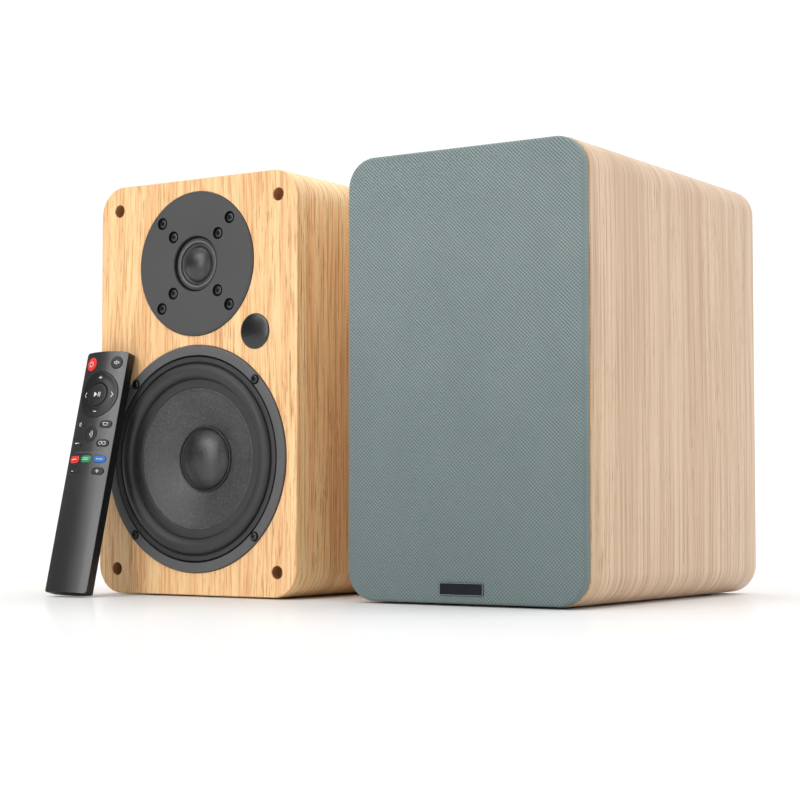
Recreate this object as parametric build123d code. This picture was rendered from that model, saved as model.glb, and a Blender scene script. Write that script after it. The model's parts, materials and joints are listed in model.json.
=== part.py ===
from build123d import *
import os
from math import cos, radians

# A stereo pair of bookshelf speakers with a remote control, in millimetres.
# +Z is up, the fronts face -Y, and +X is to the listener's right.
# The origin is on the desk, at the middle of the whole set's footprint.
# The left speaker is powered, the right one is passive and wears its grille.
# The remote stands in front of the left speaker and leans back towards it.

# ---- driving dimensions ----
CAB_W, CAB_H, CAB_D = 175.0, 290.0, 250.0  # cabinet width, height with feet, depth
EDGE_R = 20.0  # the four long edges of the cabinet
FOOT_T, FOOT_R = 1.0, 8.0
FOOT_X, FOOT_YS = 55, (30, 225)
WALL, BACK_T, BAFFLE_T = 12.0, 12.0, 15.0
CAB_MID_Z, CAB_HALF_H = (CAB_H + FOOT_T) / 2, (CAB_H - FOOT_T) / 2

# Where each speaker's own frame sits: middle of its width, baffle front, desk
LEFT = Pos(-107.55, -105.882, 0)
RIGHT = Pos(110.45, -101.082, 0)

WOOFER_Z, WOOFER_R = 95.0, 78.5
WOOFER_SCREW_PCD = 150.0
WOOFER_SCREW_HALF = WOOFER_SCREW_PCD / 2 * cos(radians(45))  # half spacing of the square
CONE_R, DUST_CAP_R = 53.5, 22.5
TWEETER_Z, TWEETER_R = 230.5, 50.2
TWEETER_OUTER, TWEETER_INNER = 30.0, 19.8  # half spacings of the two screw squares
DOME_R = 12.5
PILOT_R, CLEARANCE_R = 1.65, 2.1  # screw holes that are tight and loose on the screw

PEG_X, PEG_ZS, PEG_R, PEG_END_Y = 71.0, (18.0, 273.0), 4.42, 8.0  # grille pegs
SOCKET_R, SOCKET_DEPTH = 4.5, 10.0  # the holes they plug into

WINDOW_X, WINDOW_Z, WINDOW_R = 52.0, 181.0, 12.25

PORT_Z, PORT_R, PORT_WALL, PORT_GAP = 235.0, 19.0, 2.0, 0.2

GRILLE_W, GRILLE_H, GRILLE_T, CLOTH_T = 174.0, 288.0, 8.3, 0.8
GRILLE_GAP = 0.6  # between the grille and the baffle
GRILLE_CORNER_R = EDGE_R - 0.5
BADGE_W, BADGE_H, BADGE_T, BADGE_Z = 32.3, 8.3, 0.8, 10.75
BADGE_CORNER_R = 0.8

OVERCUT = 1  # how far most cutting tools run past the surface

os.makedirs("parts", exist_ok=True)


# ---- helpers ----
def save(name, place, *shapes):
    """Move the shapes to their place and write their solids to one file."""
    solids = [solid for shape in shapes for solid in (place * shape).solids()]
    export_step(solids[0] if len(solids) == 1 else Compound(solids), f"parts/{name}.step")


def box(x0, x1, y0, y1, z0, z1):
    return Pos((x0 + x1) / 2, (y0 + y1) / 2, (z0 + z1) / 2) * Box(x1 - x0, y1 - y0, z1 - z0)


def bar(x, z, half_w, half_h, y0, y1, corner_r=0):
    """A bar along Y about the line through (x, z), its long edges rounded if asked."""
    solid = box(x - half_w, x + half_w, y0, y1, z - half_h, z + half_h)
    return fillet(solid.edges().filter_by(Axis.Y), corner_r) if corner_r else solid


def rod(radius, y0, y1, x=0.0, z=0.0):
    """A cylinder along Y."""
    return Pos(x, (y0 + y1) / 2, z) * Rot(90, 0, 0) * Cylinder(radius, y1 - y0)


def turned(points, z, x=0):
    """A body of revolution about the line along Y through (x, z), from (radius, y) points."""
    face = make_face(Polyline(*[(radius, y, 0) for radius, y in points], close=True))
    return Pos(x, 0, z) * revolve(face, Axis.Y, 360)


def bowed(start, end, bulge, steps=8):
    """Points from start to end on a parabola that stands out by bulge in y."""
    points = []
    for i in range(steps + 1):
        t = i / steps
        radius = start[0] + (end[0] - start[0]) * t
        points.append((radius, start[1] + (end[1] - start[1]) * t + bulge * 4 * t * (1 - t)))
    return points


def dished(radius, middle_y, rise, steps):
    """Points on a parabola from the axis out to radius."""
    return [(radius * i / steps, middle_y + rise * (i / steps) ** 2) for i in range(steps + 1)]


def behind(points, thickness):
    """The same points moved back by thickness, in reverse order to close a skin."""
    return [(radius, y + thickness) for radius, y in reversed(points)]


def corners(half):
    """The (x, z) corners of a square about the origin."""
    return [(side_x * half, side_z * half) for side_x in (-1, 1) for side_z in (-1, 1)]


# ---- one speaker, in its own frame: y = 0 is the baffle's front, +y to the back ----
# Every turned profile below lists (radius, y).
def cabinet(opening_z, opening_half_w, opening_half_h):
    """The open-fronted case, with a rear opening for the fittings and one for the port."""
    outer = bar(0, CAB_MID_Z, CAB_W / 2, CAB_HALF_H, BAFFLE_T, CAB_D, EDGE_R)
    inner = bar(
        0, CAB_MID_Z, CAB_W / 2 - WALL, CAB_HALF_H - WALL,
        BAFFLE_T - OVERCUT, CAB_D - BACK_T, EDGE_R - WALL,
    )
    through_back = (CAB_D - BACK_T - OVERCUT, CAB_D + OVERCUT)
    opening = bar(0, opening_z, opening_half_w, opening_half_h, *through_back)
    port_hole = rod(PORT_R + PORT_WALL + PORT_GAP, *through_back, z=PORT_Z)
    return outer - inner - opening - port_hole


def baffle(has_window):
    body = bar(0, CAB_MID_Z, CAB_W / 2, CAB_HALF_H, 0, BAFFLE_T, EDGE_R)
    # A shallow recess for each driver's flange, then the bore behind it
    flange_gap = 0.3
    for z, flange_r, recess_depth, bore_r in (
        (WOOFER_Z, WOOFER_R, 2.5, 64.5),
        (TWEETER_Z, TWEETER_R, 3.0, 36.0),
    ):
        body -= rod(flange_r + flange_gap, -OVERCUT, recess_depth, z=z)
        body -= rod(bore_r, 0, BAFFLE_T + OVERCUT, z=z)
    for middle_z, half in ((WOOFER_Z, WOOFER_SCREW_HALF), (TWEETER_Z, TWEETER_OUTER)):
        for x, z in corners(half):
            body -= rod(PILOT_R, 1, 13, x, middle_z + z)
    for x in (-PEG_X, PEG_X):
        for z in PEG_ZS:
            body -= rod(SOCKET_R, -OVERCUT, SOCKET_DEPTH, x, z)
    if has_window:
        body -= rod(9.2, -OVERCUT, BAFFLE_T + OVERCUT, WINDOW_X, WINDOW_Z)
    return body


def woofer_basket():
    body = turned(
        [
            (71.5, -1.5), (WOOFER_R, -1.5), (WOOFER_R, 2.5), (64, 2.5), (63, 14), (50, 33),
            (50, 37), (41, 44), (16, 44), (16, 42.5), (39.8, 42.5), (46, 37.2), (43, 36.8),
            (43, 35), (48.4, 35), (48.4, 32.4), (61.4, 13.4), (61.5, 0.3), (71.5, 0.3),
        ],
        WOOFER_Z,
    )
    # Four openings around the side
    for angle in (0, 90, 180, 270):
        body -= Pos(0, 0, WOOFER_Z) * Rot(0, angle, 0) * box(-24, 24, 7, 30, 40, 80)
    for x, z in corners(WOOFER_SCREW_HALF):
        body -= rod(CLEARANCE_R, -3, 4, x, WOOFER_Z + z)
    return body


def woofer_surround():
    """The half-roll ring between basket and cone."""
    roll_front = bowed((62.6, -0.2), (54.2, 1.0), -4.2)
    roll_back = bowed((54.2, 1.8), (61.8, 0.3), -4.0)
    return turned(
        [(71.0, -1.0), (62.6, -1.0), *roll_front, (51.0, 1.0), (51.0, 1.7), *roll_back, (71.0, 0.3)],
        WOOFER_Z,
    )


def woofer_spider():
    """The corrugated ring between basket and voice coil."""
    return turned(
        [
            (13.1, 33.0), (20, 34.2), (24, 33.0), (28, 34.2),
            (32, 33.0), (36, 34.2), (40, 33.6), (47.5, 33.9),
            (47.5, 34.9), (40, 34.6), (36, 35.2), (32, 34.0),
            (28, 35.2), (24, 34.0), (20, 35.2), (13.1, 34.0),
        ],
        WOOFER_Z,
    )


def woofer_cone():
    front = [(CONE_R, 1.8), (44, 5.0), (33, 8.6), (22.5, 12.0), (17, 14.2), (13.1, 16.4)]
    return turned(front + behind(front, 0.8), WOOFER_Z)


def woofer_dust_cap():
    front = dished(DUST_CAP_R, middle_y=3.4, rise=7.8, steps=8)
    return turned(front + behind(front, 0.6), WOOFER_Z)


def voice_coil():
    return turned(
        [(12.6, 13.5), (13.0, 13.5), (13.0, 42), (13.5, 42), (13.5, 50), (12.6, 50)], WOOFER_Z
    )


def woofer_motor():
    top_plate = [(13.9, 44), (40, 44), (40, 49), (13.9, 49)]
    magnet = [(24, 49), (46, 49), (46, 64), (24, 64)]
    yoke = [(0, 44), (12.1, 44), (12.1, 64), (44, 64), (44, 68), (42, 70), (0, 70)]
    return [turned(points, WOOFER_Z) for points in (top_plate, magnet, yoke)]


def tweeter_faceplate():
    plate = turned(
        [
            (19, -1.0), (49.6, -1.0), (TWEETER_R, -0.4), (TWEETER_R, 3.0),
            (16.6, 3.0), (16.6, 0.6), (19, 0.6),
        ],
        TWEETER_Z,
    )
    for half in (TWEETER_OUTER, TWEETER_INNER):
        for x, z in corners(half):
            plate -= rod(4.0, -2, 0.8, x, TWEETER_Z + z)  # sinks the screw head
            plate -= rod(CLEARANCE_R, 0, 4, x, TWEETER_Z + z)
    return plate


def tweeter_dome():
    """The dome with its mounting rim and the coil former behind it."""
    front = dished(DOME_R, middle_y=-3.0, rise=5.2, steps=6)
    rim = [(16.2, 2.2), (16.2, 2.6), (DOME_R, 2.6)]
    former = [(DOME_R, 9.5), (12.1, 9.5), (12.1, 2.6)]
    return turned(front + rim + former + behind(front[:-1], 0.5), TWEETER_Z)


def tweeter_motor():
    motor = turned(
        [(0, 3.0), (34, 3.0), (34, 8), (31, 8), (31, 25), (28, 27), (0, 27)], TWEETER_Z
    )
    # Ring-shaped gap for the coil
    motor -= rod(12.9, 2, 11, z=TWEETER_Z) - rod(11.8, 1, 12, z=TWEETER_Z)
    for x, z in corners(TWEETER_INNER):
        motor -= rod(PILOT_R, 2, 10, x, TWEETER_Z + z)
    return motor


def hex_screw(points, x, z, hex_r, hex_y, hex_half_depth):
    """A turned screw with a hexagonal socket centred on y = hex_y."""
    tool = extrude(RegularPolygon(hex_r, 6), hex_half_depth, both=True)
    return turned(points, z, x) - Pos(x, hex_y, z) * Rot(90, 0, 0) * tool


def driver_screws():
    screws = []
    domed = [(0, -3.3), (1.8, -3.2), (3.0, -2.2), (3.0, -1.5), (1.6, -1.5), (1.6, 12), (0, 12)]
    for x, z in corners(WOOFER_SCREW_HALF):
        screws.append(hex_screw(domed, x, WOOFER_Z + z, 1.15, -2.9, 0.8))
    for half, end in ((TWEETER_OUTER, 12), (TWEETER_INNER, 9)):
        flat = [(0, -0.9), (3.0, -0.9), (3.0, 0.8), (1.6, 0.8), (1.6, end), (0, end)]
        for x, z in corners(half):
            screws.append(hex_screw(flat, x, TWEETER_Z + z, 1.3, -0.6, 0.9))
    return screws


def port_tube():
    """A tube through the back panel with a flared rear rim."""
    outer_r = PORT_R + PORT_WALL
    return turned(
        [
            (PORT_R, 165), (outer_r, 165), (outer_r, CAB_D), (PORT_R + 10, CAB_D),
            (PORT_R + 10, 251.5), (PORT_R + 8.5, 253), (PORT_R + 5.5, 252.6),
            (PORT_R + 2.2, 250.6), (PORT_R + 0.4, 247), (PORT_R, 243),
        ],
        PORT_Z,
    )


def feet():
    foot = Cylinder(FOOT_R, FOOT_T)
    return [Pos(x, y, FOOT_T / 2) * foot for x in (-FOOT_X, FOOT_X) for y in FOOT_YS]


def receiver_window():
    return turned(
        [
            (0, -1.4), (11.4, -1.4), (WINDOW_R, -0.6), (WINDOW_R, 0),
            (9.0, 0), (9.0, 10), (0, 10),
        ],
        WINDOW_Z, WINDOW_X,
    )


# ---- rear fittings of the powered speaker ----
PLATE_W, PLATE_H, PLATE_Z, PLATE_T = 130.0, 150.0, 105.0, 3.0
PLATE_BACK = CAB_D + PLATE_T
THROUGH_PLATE = (CAB_D - OVERCUT, PLATE_BACK + OVERCUT)
PLATE_SCREW_INSET = 6
PLATE_SCREWS = [
    (side_x * (PLATE_W / 2 - PLATE_SCREW_INSET), PLATE_Z + side_z * (PLATE_H / 2 - PLATE_SCREW_INSET))
    for side_x, side_z in corners(1)
]
BOARD_FRONT, BOARD_BACK = 234.0, 235.6
KNOB_R, KNOB_Z, KNOB_X = 8.0, 160.0, 38.0
KNOB_XS = (-KNOB_X, 0, KNOB_X)

PHONO_SPACING = 14.0
LINK_SPACING, LINK_HOLE_R = 19.05, 2.05
ROW_Z, LOW_Z = 118.0, 62.0  # the two rows of fittings
PHONO_X, AUX_X, OPTICAL_X, DIGITAL_X = 38.0, 10.0, -12.0, -38.0
LINK_X, SWITCH_X, INLET_X = 38.0, 0.0, -38.0
FITTING_FRONT, FITTING_GAP = 237, 0.3
FITTINGS = {  # name: (x, z, half width, half height, back y)
    "phono": (PHONO_X, ROW_Z, 14, 7, 254),
    "aux": (AUX_X, ROW_Z, 5, 5, 254),
    "optical": (OPTICAL_X, ROW_Z, 6, 6, 256),
    "digital": (DIGITAL_X, ROW_Z, 9, 5, 255),
    "link": (LINK_X, LOW_Z, 18, 8, 256),
    "switch": (SWITCH_X, LOW_Z, 7.5, 12, 254),
    "inlet": (INLET_X, LOW_Z, 12, 8, 254),
}


def amplifier_plate():
    plate = bar(0, PLATE_Z, PLATE_W / 2, PLATE_H / 2, CAB_D, PLATE_BACK, 5)
    for x in KNOB_XS:
        plate -= rod(3.6, *THROUGH_PLATE, x, KNOB_Z)
    for x, z, half_w, half_h, _ in FITTINGS.values():
        plate -= bar(x, z, half_w + FITTING_GAP, half_h + FITTING_GAP, *THROUGH_PLATE)
    for x, z in PLATE_SCREWS:
        plate -= bar(x, z, 2.1, 2.1, *THROUGH_PLATE)
    return plate


def plate_screws():
    """Round heads with square shanks."""
    return [
        bar(x, z, 1.9, 1.9, CAB_D + 0.02, PLATE_BACK)
        + rod(3.2, PLATE_BACK, PLATE_BACK + 1.4, x, z)
        for x, z in PLATE_SCREWS
    ]


def amplifier_board():
    """The board with its components, and the three bodies the knob shafts run in."""
    board = box(-55, 55, BOARD_FRONT, BOARD_BACK, 42, 168)
    board += box(-50, -22, 208, BOARD_FRONT, 96, 124)  # transformer
    board += box(10, 50, 216, BOARD_FRONT, 92, 100)  # heat sink
    board += box(10, 50, 216, BOARD_FRONT, 104, 108)
    for x in (-14, 0):
        board += rod(5.0, 214, BOARD_FRONT, x, 80)
    shaft_bodies = [
        bar(x, KNOB_Z, 8, 8, BOARD_BACK, 250) - rod(3.06, 240, 251, x, KNOB_Z) for x in KNOB_XS
    ]
    return [board, *shaft_bodies]


def knob():
    """A control knob with its shaft, about x = z = 0."""
    body = turned(
        [
            (0, 240.2), (3.0, 240.2), (3.0, 255), (7.4, 255),
            (KNOB_R, 255.6), (KNOB_R, 266.4), (7.2, 267.4), (0, 267.4),
        ],
        0,
    )
    flutes = 12
    for i in range(flutes):
        body -= Rot(0, i * 360 / flutes, 0) * rod(0.7, 256.5, 268, 0, KNOB_R + 0.25)
    return body - box(-0.5, 0.5, 266.6, 269, 2.5, 9)  # upright groove in the rear face


def fitting_body(name):
    x, z, half_w, half_h, back = FITTINGS[name]
    return bar(x, z, half_w, half_h, FITTING_FRONT, back)


def with_link_posts(body, middle_x, z):
    """Add the two round posts of a speaker link, each with a hole along it."""
    for side in (-1, 1):
        x = middle_x + side * LINK_SPACING / 2
        body += rod(5.5, 255, 260, x, z)
        body -= rod(LINK_HOLE_R, 244, 261, x, z)
    return body


def audio_sockets():
    phono = fitting_body("phono")
    for side in (-1, 1):
        x = PHONO_X + side * PHONO_SPACING / 2
        phono += rod(4.15, 254, 262, x, ROW_Z)
        phono -= rod(1.6, 250, 263, x, ROW_Z)
    aux = fitting_body("aux") + rod(4.0, 254, 256, AUX_X, ROW_Z) - rod(1.8, 242, 257, AUX_X, ROW_Z)
    optical = fitting_body("optical") - bar(OPTICAL_X, ROW_Z, 4, 4, 244, 257)
    digital = (
        fitting_body("digital")
        - bar(DIGITAL_X, ROW_Z, 7.2, 2.4, 244, 256)
        + bar(DIGITAL_X, ROW_Z, 5.6, 0.5, 243, 252)  # tongue
    )
    link = with_link_posts(fitting_body("link"), LINK_X, LOW_Z)
    return [phono, aux, optical, digital, link]


def mains_fittings():
    """The switch housing and the mains inlet, each a body, a flange and a cavity."""
    housing = (
        fitting_body("switch")
        + bar(SWITCH_X, LOW_Z, 9.5, 14, PLATE_BACK, 255)
        - bar(SWITCH_X, LOW_Z, 5.3, 9.8, 243, 256)
    )
    inlet = (
        fitting_body("inlet")
        + bar(INLET_X, LOW_Z, 15, 10, PLATE_BACK, 255)
        - bar(INLET_X, LOW_Z, 8.4, 4.4, 242, 256, 4.0)
    )
    for side in (-1, 1):
        inlet += rod(1.2, 241, 252, INLET_X + side * 4.3, LOW_Z)  # pin
    return [housing, inlet]


ROCKER_Y, ROCKER_TILT = 250.0, 8.0


def rocker():
    """The tilted switch rocker, its rear face scooped by a cylinder along X."""
    body = bar(SWITCH_X, 0, 5.0, 8.0, -3.0, 6.0)
    body -= Pos(SWITCH_X, 21.5, 0) * Rot(0, 90, 0) * Cylinder(16.5, 12)
    return Pos(0, ROCKER_Y, LOW_Z) * Rot(ROCKER_TILT, 0, 0) * body


# ---- rear fittings of the passive speaker ----
CUP_Z = 65


def link_cup():
    cup = bar(0, CUP_Z, 35, 25, CAB_D, 252.5, 4) + bar(0, CUP_Z, 20, 10, BOARD_BACK, 256)
    return with_link_posts(cup, 0, CUP_Z)


def crossover_board():
    """The board with a ring, two blocks and a cylinder on its front."""
    board = box(-32, 32, BOARD_FRONT, BOARD_BACK, 42, 112)
    board += rod(13, 220, BOARD_FRONT, -15, 94) - rod(6, 219, BOARD_FRONT, -15, 94)
    board += (
        box(4, 28, 222, BOARD_FRONT, 84, 96)
        + box(-28, -4, 224, BOARD_FRONT, 48, 58)
        + rod(5.5, 214, BOARD_FRONT, 16, 56)
    )
    return board


# ---- grille, in the passive speaker's frame ----
def grille_block(inset, y0, y1):
    """The grille's rounded outline, drawn in by inset."""
    half_w, half_h = GRILLE_W / 2 - inset, GRILLE_H / 2 - inset
    return bar(0, CAB_MID_Z, half_w, half_h, y0, y1, GRILLE_CORNER_R - inset)


def grille_frame():
    front, back = -GRILLE_T + CLOTH_T, -GRILLE_GAP
    through = (front - OVERCUT, back + OVERCUT)
    frame = grille_block(CLOTH_T, front, back)
    frame -= rod(81, *through, z=WOOFER_Z)
    frame -= rod(53, *through, z=TWEETER_Z)
    frame -= box(-34, 34, *through, 160, 195)
    for x in (-PEG_X, PEG_X):
        for z in PEG_ZS:
            frame += rod(PEG_R, back, PEG_END_Y, x, z)
    return frame


def grille_cloth():
    """The cloth over the frame's front and sides, open at the back."""
    return grille_block(0, -GRILLE_T, -GRILLE_GAP) - grille_block(CLOTH_T, -GRILLE_T + CLOTH_T, 1)


def grille_badge():
    front = -GRILLE_T - BADGE_T
    return bar(0, BADGE_Z, BADGE_W / 2, BADGE_H / 2, front, -GRILLE_T, BADGE_CORNER_R)


# ---- write both speakers ----
for side, place in (("left", LEFT), ("right", RIGHT)):
    save(f"{side}_front_baffle", place, baffle(has_window=side == "left"))
    save(f"{side}_woofer_basket", place, woofer_basket())
    save(f"{side}_woofer_motor", place, *woofer_motor())
    save(f"{side}_tweeter_faceplate", place, tweeter_faceplate())
    save(f"{side}_tweeter_dome", place, tweeter_dome())
    save(f"{side}_tweeter_motor", place, tweeter_motor())
    save(f"{side}_port_tube", place, port_tube())
    save(f"{side}_feet", place, *feet())

save("left_cabinet", LEFT, cabinet(PLATE_Z, opening_half_w=57.5, opening_half_h=68))
save("left_woofer_surround", LEFT, woofer_surround())
save("left_woofer_spider", LEFT, woofer_spider())
save("left_woofer_cone", LEFT, woofer_cone())
save("left_woofer_dust_cap", LEFT, woofer_dust_cap())
save("left_woofer_voice_coil", LEFT, voice_coil())
save("left_screws", LEFT, *driver_screws(), *plate_screws())
save("left_receiver_window", LEFT, receiver_window())
save("left_amplifier_plate", LEFT, amplifier_plate())
save("left_amplifier_board", LEFT, *amplifier_board())
save("left_audio_sockets", LEFT, *audio_sockets())
save("left_mains_fittings", LEFT, *mains_fittings())
save("power_rocker", LEFT, rocker())
for name, x in zip(("bass", "treble", "volume"), KNOB_XS):
    save(f"{name}_knob", LEFT * Pos(x, 0, KNOB_Z), knob())

save("right_cabinet", RIGHT, cabinet(CUP_Z, opening_half_w=28, opening_half_h=19))
save("right_woofer_suspension", RIGHT, woofer_surround(), woofer_spider())
save("right_woofer_cone", RIGHT, woofer_cone(), woofer_dust_cap(), voice_coil())
save("right_screws", RIGHT, *driver_screws())
save("right_link_cup", RIGHT, link_cup())
save("right_crossover_board", RIGHT, crossover_board())
save("grille_frame", RIGHT, grille_frame())
save("grille_cloth", RIGHT, grille_cloth())
save("grille_badge", RIGHT, grille_badge())

# ---- remote control, in its own frame: x across, -y out of the face, z up its length ----
REM_W, REM_L, REM_SIDE, REM_CROWN = 38.7, 173.0, 7.0, 3.5  # crown: bulge of face and back
REM_WALL = 1.4
REM_LEAN = 14.0
REMOTE = Pos(-178.60, -158.122, 2.84) * Rot(-REM_LEAN, 0, 0)
HALF = REM_W / 2
SEAM_Y = 2.5  # where the front and back cases meet
KEY_PROUD, KEY_BACK_Y = 0.5, 2.1
KEY_GAP, RING_GAP, RING_HOLE_R = 0.15, 0.3, 8.4

KEY_X = 11.6  # the two outer columns
PILL = (9.8, 5.1)  # width and height
KEYS = {  # name: (x, distance down from the top, shape, radius or pill size)
    "power_button": (-KEY_X, 8.8, "round", 5.0),
    "mute_button": (KEY_X, 8.4, "round", 4.5),
    "navigation_ring": (0, 31.7, "ring", 16.7),
    "play_button": (0, 31.7, "round", 8.0),
    "optical_button": (-KEY_X, 53.4, "pill", PILL),
    "arc_button": (KEY_X, 53.4, "pill", PILL),
    "wireless_button": (0, 60.7, "round", 5.6),
    "aux_button": (-KEY_X, 67.1, "pill", PILL),
    "line_button": (KEY_X, 67.1, "pill", PILL),
    "red_button": (-KEY_X, 78.7, "pill", PILL),
    "green_button": (0, 78.7, "pill", PILL),
    "blue_button": (KEY_X, 78.7, "pill", PILL),
    "left_option_button": (-KEY_X, 87.3, "pill", PILL),
    "right_option_button": (KEY_X, 87.3, "pill", PILL),
}

DOOR_HALF, DOOR_Z0, DOOR_Z1 = 15.0, 13.0, 61.0  # the battery opening
DOOR_FRONT_Y = 4.5
CELL_R, CELL_L, CELL_X, CELL_Y, CELL_Z0 = 5.1, 44, 5.35, 3.5, 14.5


def lens(half, front_edge, front_apex, back_edge, back_apex, z0, z1):
    """A bar along Z between two shallow arcs."""
    edges = [
        ThreePointArc((-half, front_edge), (0, front_apex), (half, front_edge)),
        Line((half, front_edge), (half, back_edge)),
        ThreePointArc((half, back_edge), (0, back_apex), (-half, back_edge)),
        Line((-half, back_edge), (-half, front_edge)),
    ]
    return Pos(0, 0, z0) * extrude(make_face(edges), z1 - z0)


def layer(y0, y1):
    """A slab larger than the remote, used to keep what lies between y0 and y1."""
    return bar(0, REM_L / 2, 30, REM_L / 2 + OVERCUT, y0, y1)


def remote_shell():
    outer = lens(HALF, 0, -REM_CROWN, REM_SIDE, REM_SIDE + REM_CROWN, 0, REM_L)
    outer &= bar(0, REM_L / 2, HALF, REM_L / 2, -10, 20, 2.5)
    inner = lens(
        HALF - 1.45, 0.8, -REM_CROWN + REM_WALL, REM_SIDE - 0.8,
        REM_SIDE + REM_CROWN - REM_WALL, REM_WALL, REM_L - REM_WALL,
    )
    return outer - inner


def key_plug(x, down, shape, size, grow=0):
    """A key's outline as a long plug along Y, grown all round."""
    z = REM_L - down
    if shape == "pill":
        half_w, half_h = size[0] / 2 + grow, size[1] / 2 + grow
        # Just short of a full round, so that the fillet can be made
        return bar(x, z, half_w, half_h, -8, 2.4, half_h - 0.01)
    return rod(size + grow, -8, 2.4, x, z)


def remote_key(x, down, shape, size):
    body = key_plug(x, down, shape, size) & KEY_ENVELOPE
    if shape == "ring":
        body -= rod(RING_HOLE_R, -9, 3, x, REM_L - down)
    return body


def remote_front_case():
    case = SHELL & layer(-20, SEAM_Y)
    for name, key in KEYS.items():
        if name != "play_button":  # it sits in the ring's opening
            case -= key_plug(*key, grow=RING_GAP if key[2] == "ring" else KEY_GAP)
    return case


def remote_back_case():
    case = SHELL & layer(SEAM_Y, 20)
    return case - box(-DOOR_HALF, DOOR_HALF, DOOR_FRONT_Y, 20, DOOR_Z0, DOOR_Z1)


def battery_door():
    half = DOOR_HALF - 0.2
    return SHELL & box(-half, half, DOOR_FRONT_Y, 20, DOOR_Z0 + 0.2, DOOR_Z1 - 0.3)


def batteries():
    """Two cells side by side, each with a small contact on its upper end."""
    return [
        Pos(x, CELL_Y, CELL_Z0 + CELL_L / 2) * Cylinder(CELL_R, CELL_L)
        + Pos(x, CELL_Y, CELL_Z0 + CELL_L + 0.4) * Cylinder(1.8, 0.9)
        for x in (-CELL_X, CELL_X)
    ]


SHELL = remote_shell()
KEY_ENVELOPE = lens(HALF, -KEY_PROUD, -REM_CROWN - KEY_PROUD, 4.0, 4.1, 0, REM_L)
KEY_ENVELOPE &= layer(-20, KEY_BACK_Y)

for name, key in KEYS.items():
    save(f"remote_{name}", REMOTE, remote_key(*key))
save("remote_front_case", REMOTE, remote_front_case())
save("remote_back_case", REMOTE, remote_back_case())
save("remote_battery_door", REMOTE, battery_door())
save("remote_circuit_board", REMOTE, box(-15, 15, 3.0, 4.2, 66, 168))
save("remote_batteries", REMOTE, *batteries())
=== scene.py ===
"""A pair of bookshelf loudspeakers, the right one wearing a cloth grille, and a remote control.

All pieces are drawn in millimetres. In a speaker's frame x runs across from the middle of its
baffle, y runs from the baffle's front face (0) to the back, and z is the height over the floor.
In the remote's frame x runs across, y from the plane of the face's long edges into the case, and
z along the case to the end with the power key.
"""
import json
import math
from functools import cached_property
from itertools import accumulate

import bmesh
import bpy
import numpy as np
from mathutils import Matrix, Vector


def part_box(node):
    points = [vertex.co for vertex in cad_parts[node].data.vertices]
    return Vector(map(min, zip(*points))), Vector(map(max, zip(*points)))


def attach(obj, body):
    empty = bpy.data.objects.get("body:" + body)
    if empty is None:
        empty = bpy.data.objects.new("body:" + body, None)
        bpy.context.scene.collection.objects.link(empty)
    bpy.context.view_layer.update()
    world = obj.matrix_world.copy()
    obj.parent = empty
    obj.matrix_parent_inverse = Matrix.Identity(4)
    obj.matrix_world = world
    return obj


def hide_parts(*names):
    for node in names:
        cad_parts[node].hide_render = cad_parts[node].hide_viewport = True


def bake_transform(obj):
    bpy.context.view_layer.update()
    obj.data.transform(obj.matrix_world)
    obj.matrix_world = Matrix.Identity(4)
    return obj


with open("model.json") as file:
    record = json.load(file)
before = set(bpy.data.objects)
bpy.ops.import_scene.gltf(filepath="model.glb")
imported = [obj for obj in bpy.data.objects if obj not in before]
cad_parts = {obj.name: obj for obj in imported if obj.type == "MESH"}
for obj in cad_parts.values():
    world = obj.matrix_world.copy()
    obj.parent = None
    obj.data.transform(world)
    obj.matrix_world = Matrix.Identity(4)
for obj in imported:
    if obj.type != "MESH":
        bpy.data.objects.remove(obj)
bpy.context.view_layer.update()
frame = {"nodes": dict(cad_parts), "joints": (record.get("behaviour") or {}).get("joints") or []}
MM = 0.001
PI = math.pi


# ------------------------------------------------------------------ places and driving sizes
def corners(node):
    low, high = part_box(node)
    return np.array(low) / MM, np.array(high) / MM


def joint(name):
    return next(item for item in frame["joints"] if item["name"] == name)


def speaker_place(side):
    """Maps a speaker's frame to the scene."""
    low, high = corners(side + "_front_baffle")
    base = np.array([(low[0] + high[0]) / 2, low[1], 0.0])
    return lambda points: (np.asarray(points, float) + base) * MM


def disc(node):
    """Centre height and radius of a round front piece."""
    low, high = corners(node)
    return (low[2] + high[2]) / 2, (high[2] - low[2]) / 2


PLACE = {side: speaker_place(side) for side in ("left", "right")}
LEFT, RIGHT = PLACE["left"], PLACE["right"]

cabinet_low, cabinet_high = corners("left_cabinet")
baffle_y = corners("left_front_baffle")[0][1]
CAB_W = cabinet_high[0] - cabinet_low[0]
CAB_TOP, CAB_BOTTOM = cabinet_high[2], cabinet_low[2]
CAB_BACK = cabinet_high[1] - baffle_y
BAFFLE_T = cabinet_low[1] - baffle_y
EDGE_R = 20.0
WALL = 12.0
WOOFER_Z, WOOFER_R = disc("left_woofer_basket")
TWEETER_Z, TWEETER_R = disc("left_tweeter_faceplate")
PEGS = [(x, z) for x in (-71, 71) for z in (18, 273)]
RECEIVER_X, RECEIVER_Z = 52, 181
PORT_Z = 235

REMOTE_L, REMOTE_HALF = 173.0, 19.35
REMOTE_SIDE = 7.0
CROWN = 3.5
RING_DOWN = 31.7  # navigation ring's centre, from the end with the power key
inward = np.array(joint("power_press")["axis"], float)
REMOTE_BACK = inward / np.linalg.norm(inward)
REMOTE_UP = np.array([0.0, -REMOTE_BACK[2], REMOTE_BACK[1]])
ring_tip = np.array(joint("navigation_ring_tip")["pos_m"], float) / MM
REMOTE_ORIGIN = ring_tip - REMOTE_UP * (REMOTE_L - RING_DOWN)


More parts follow.
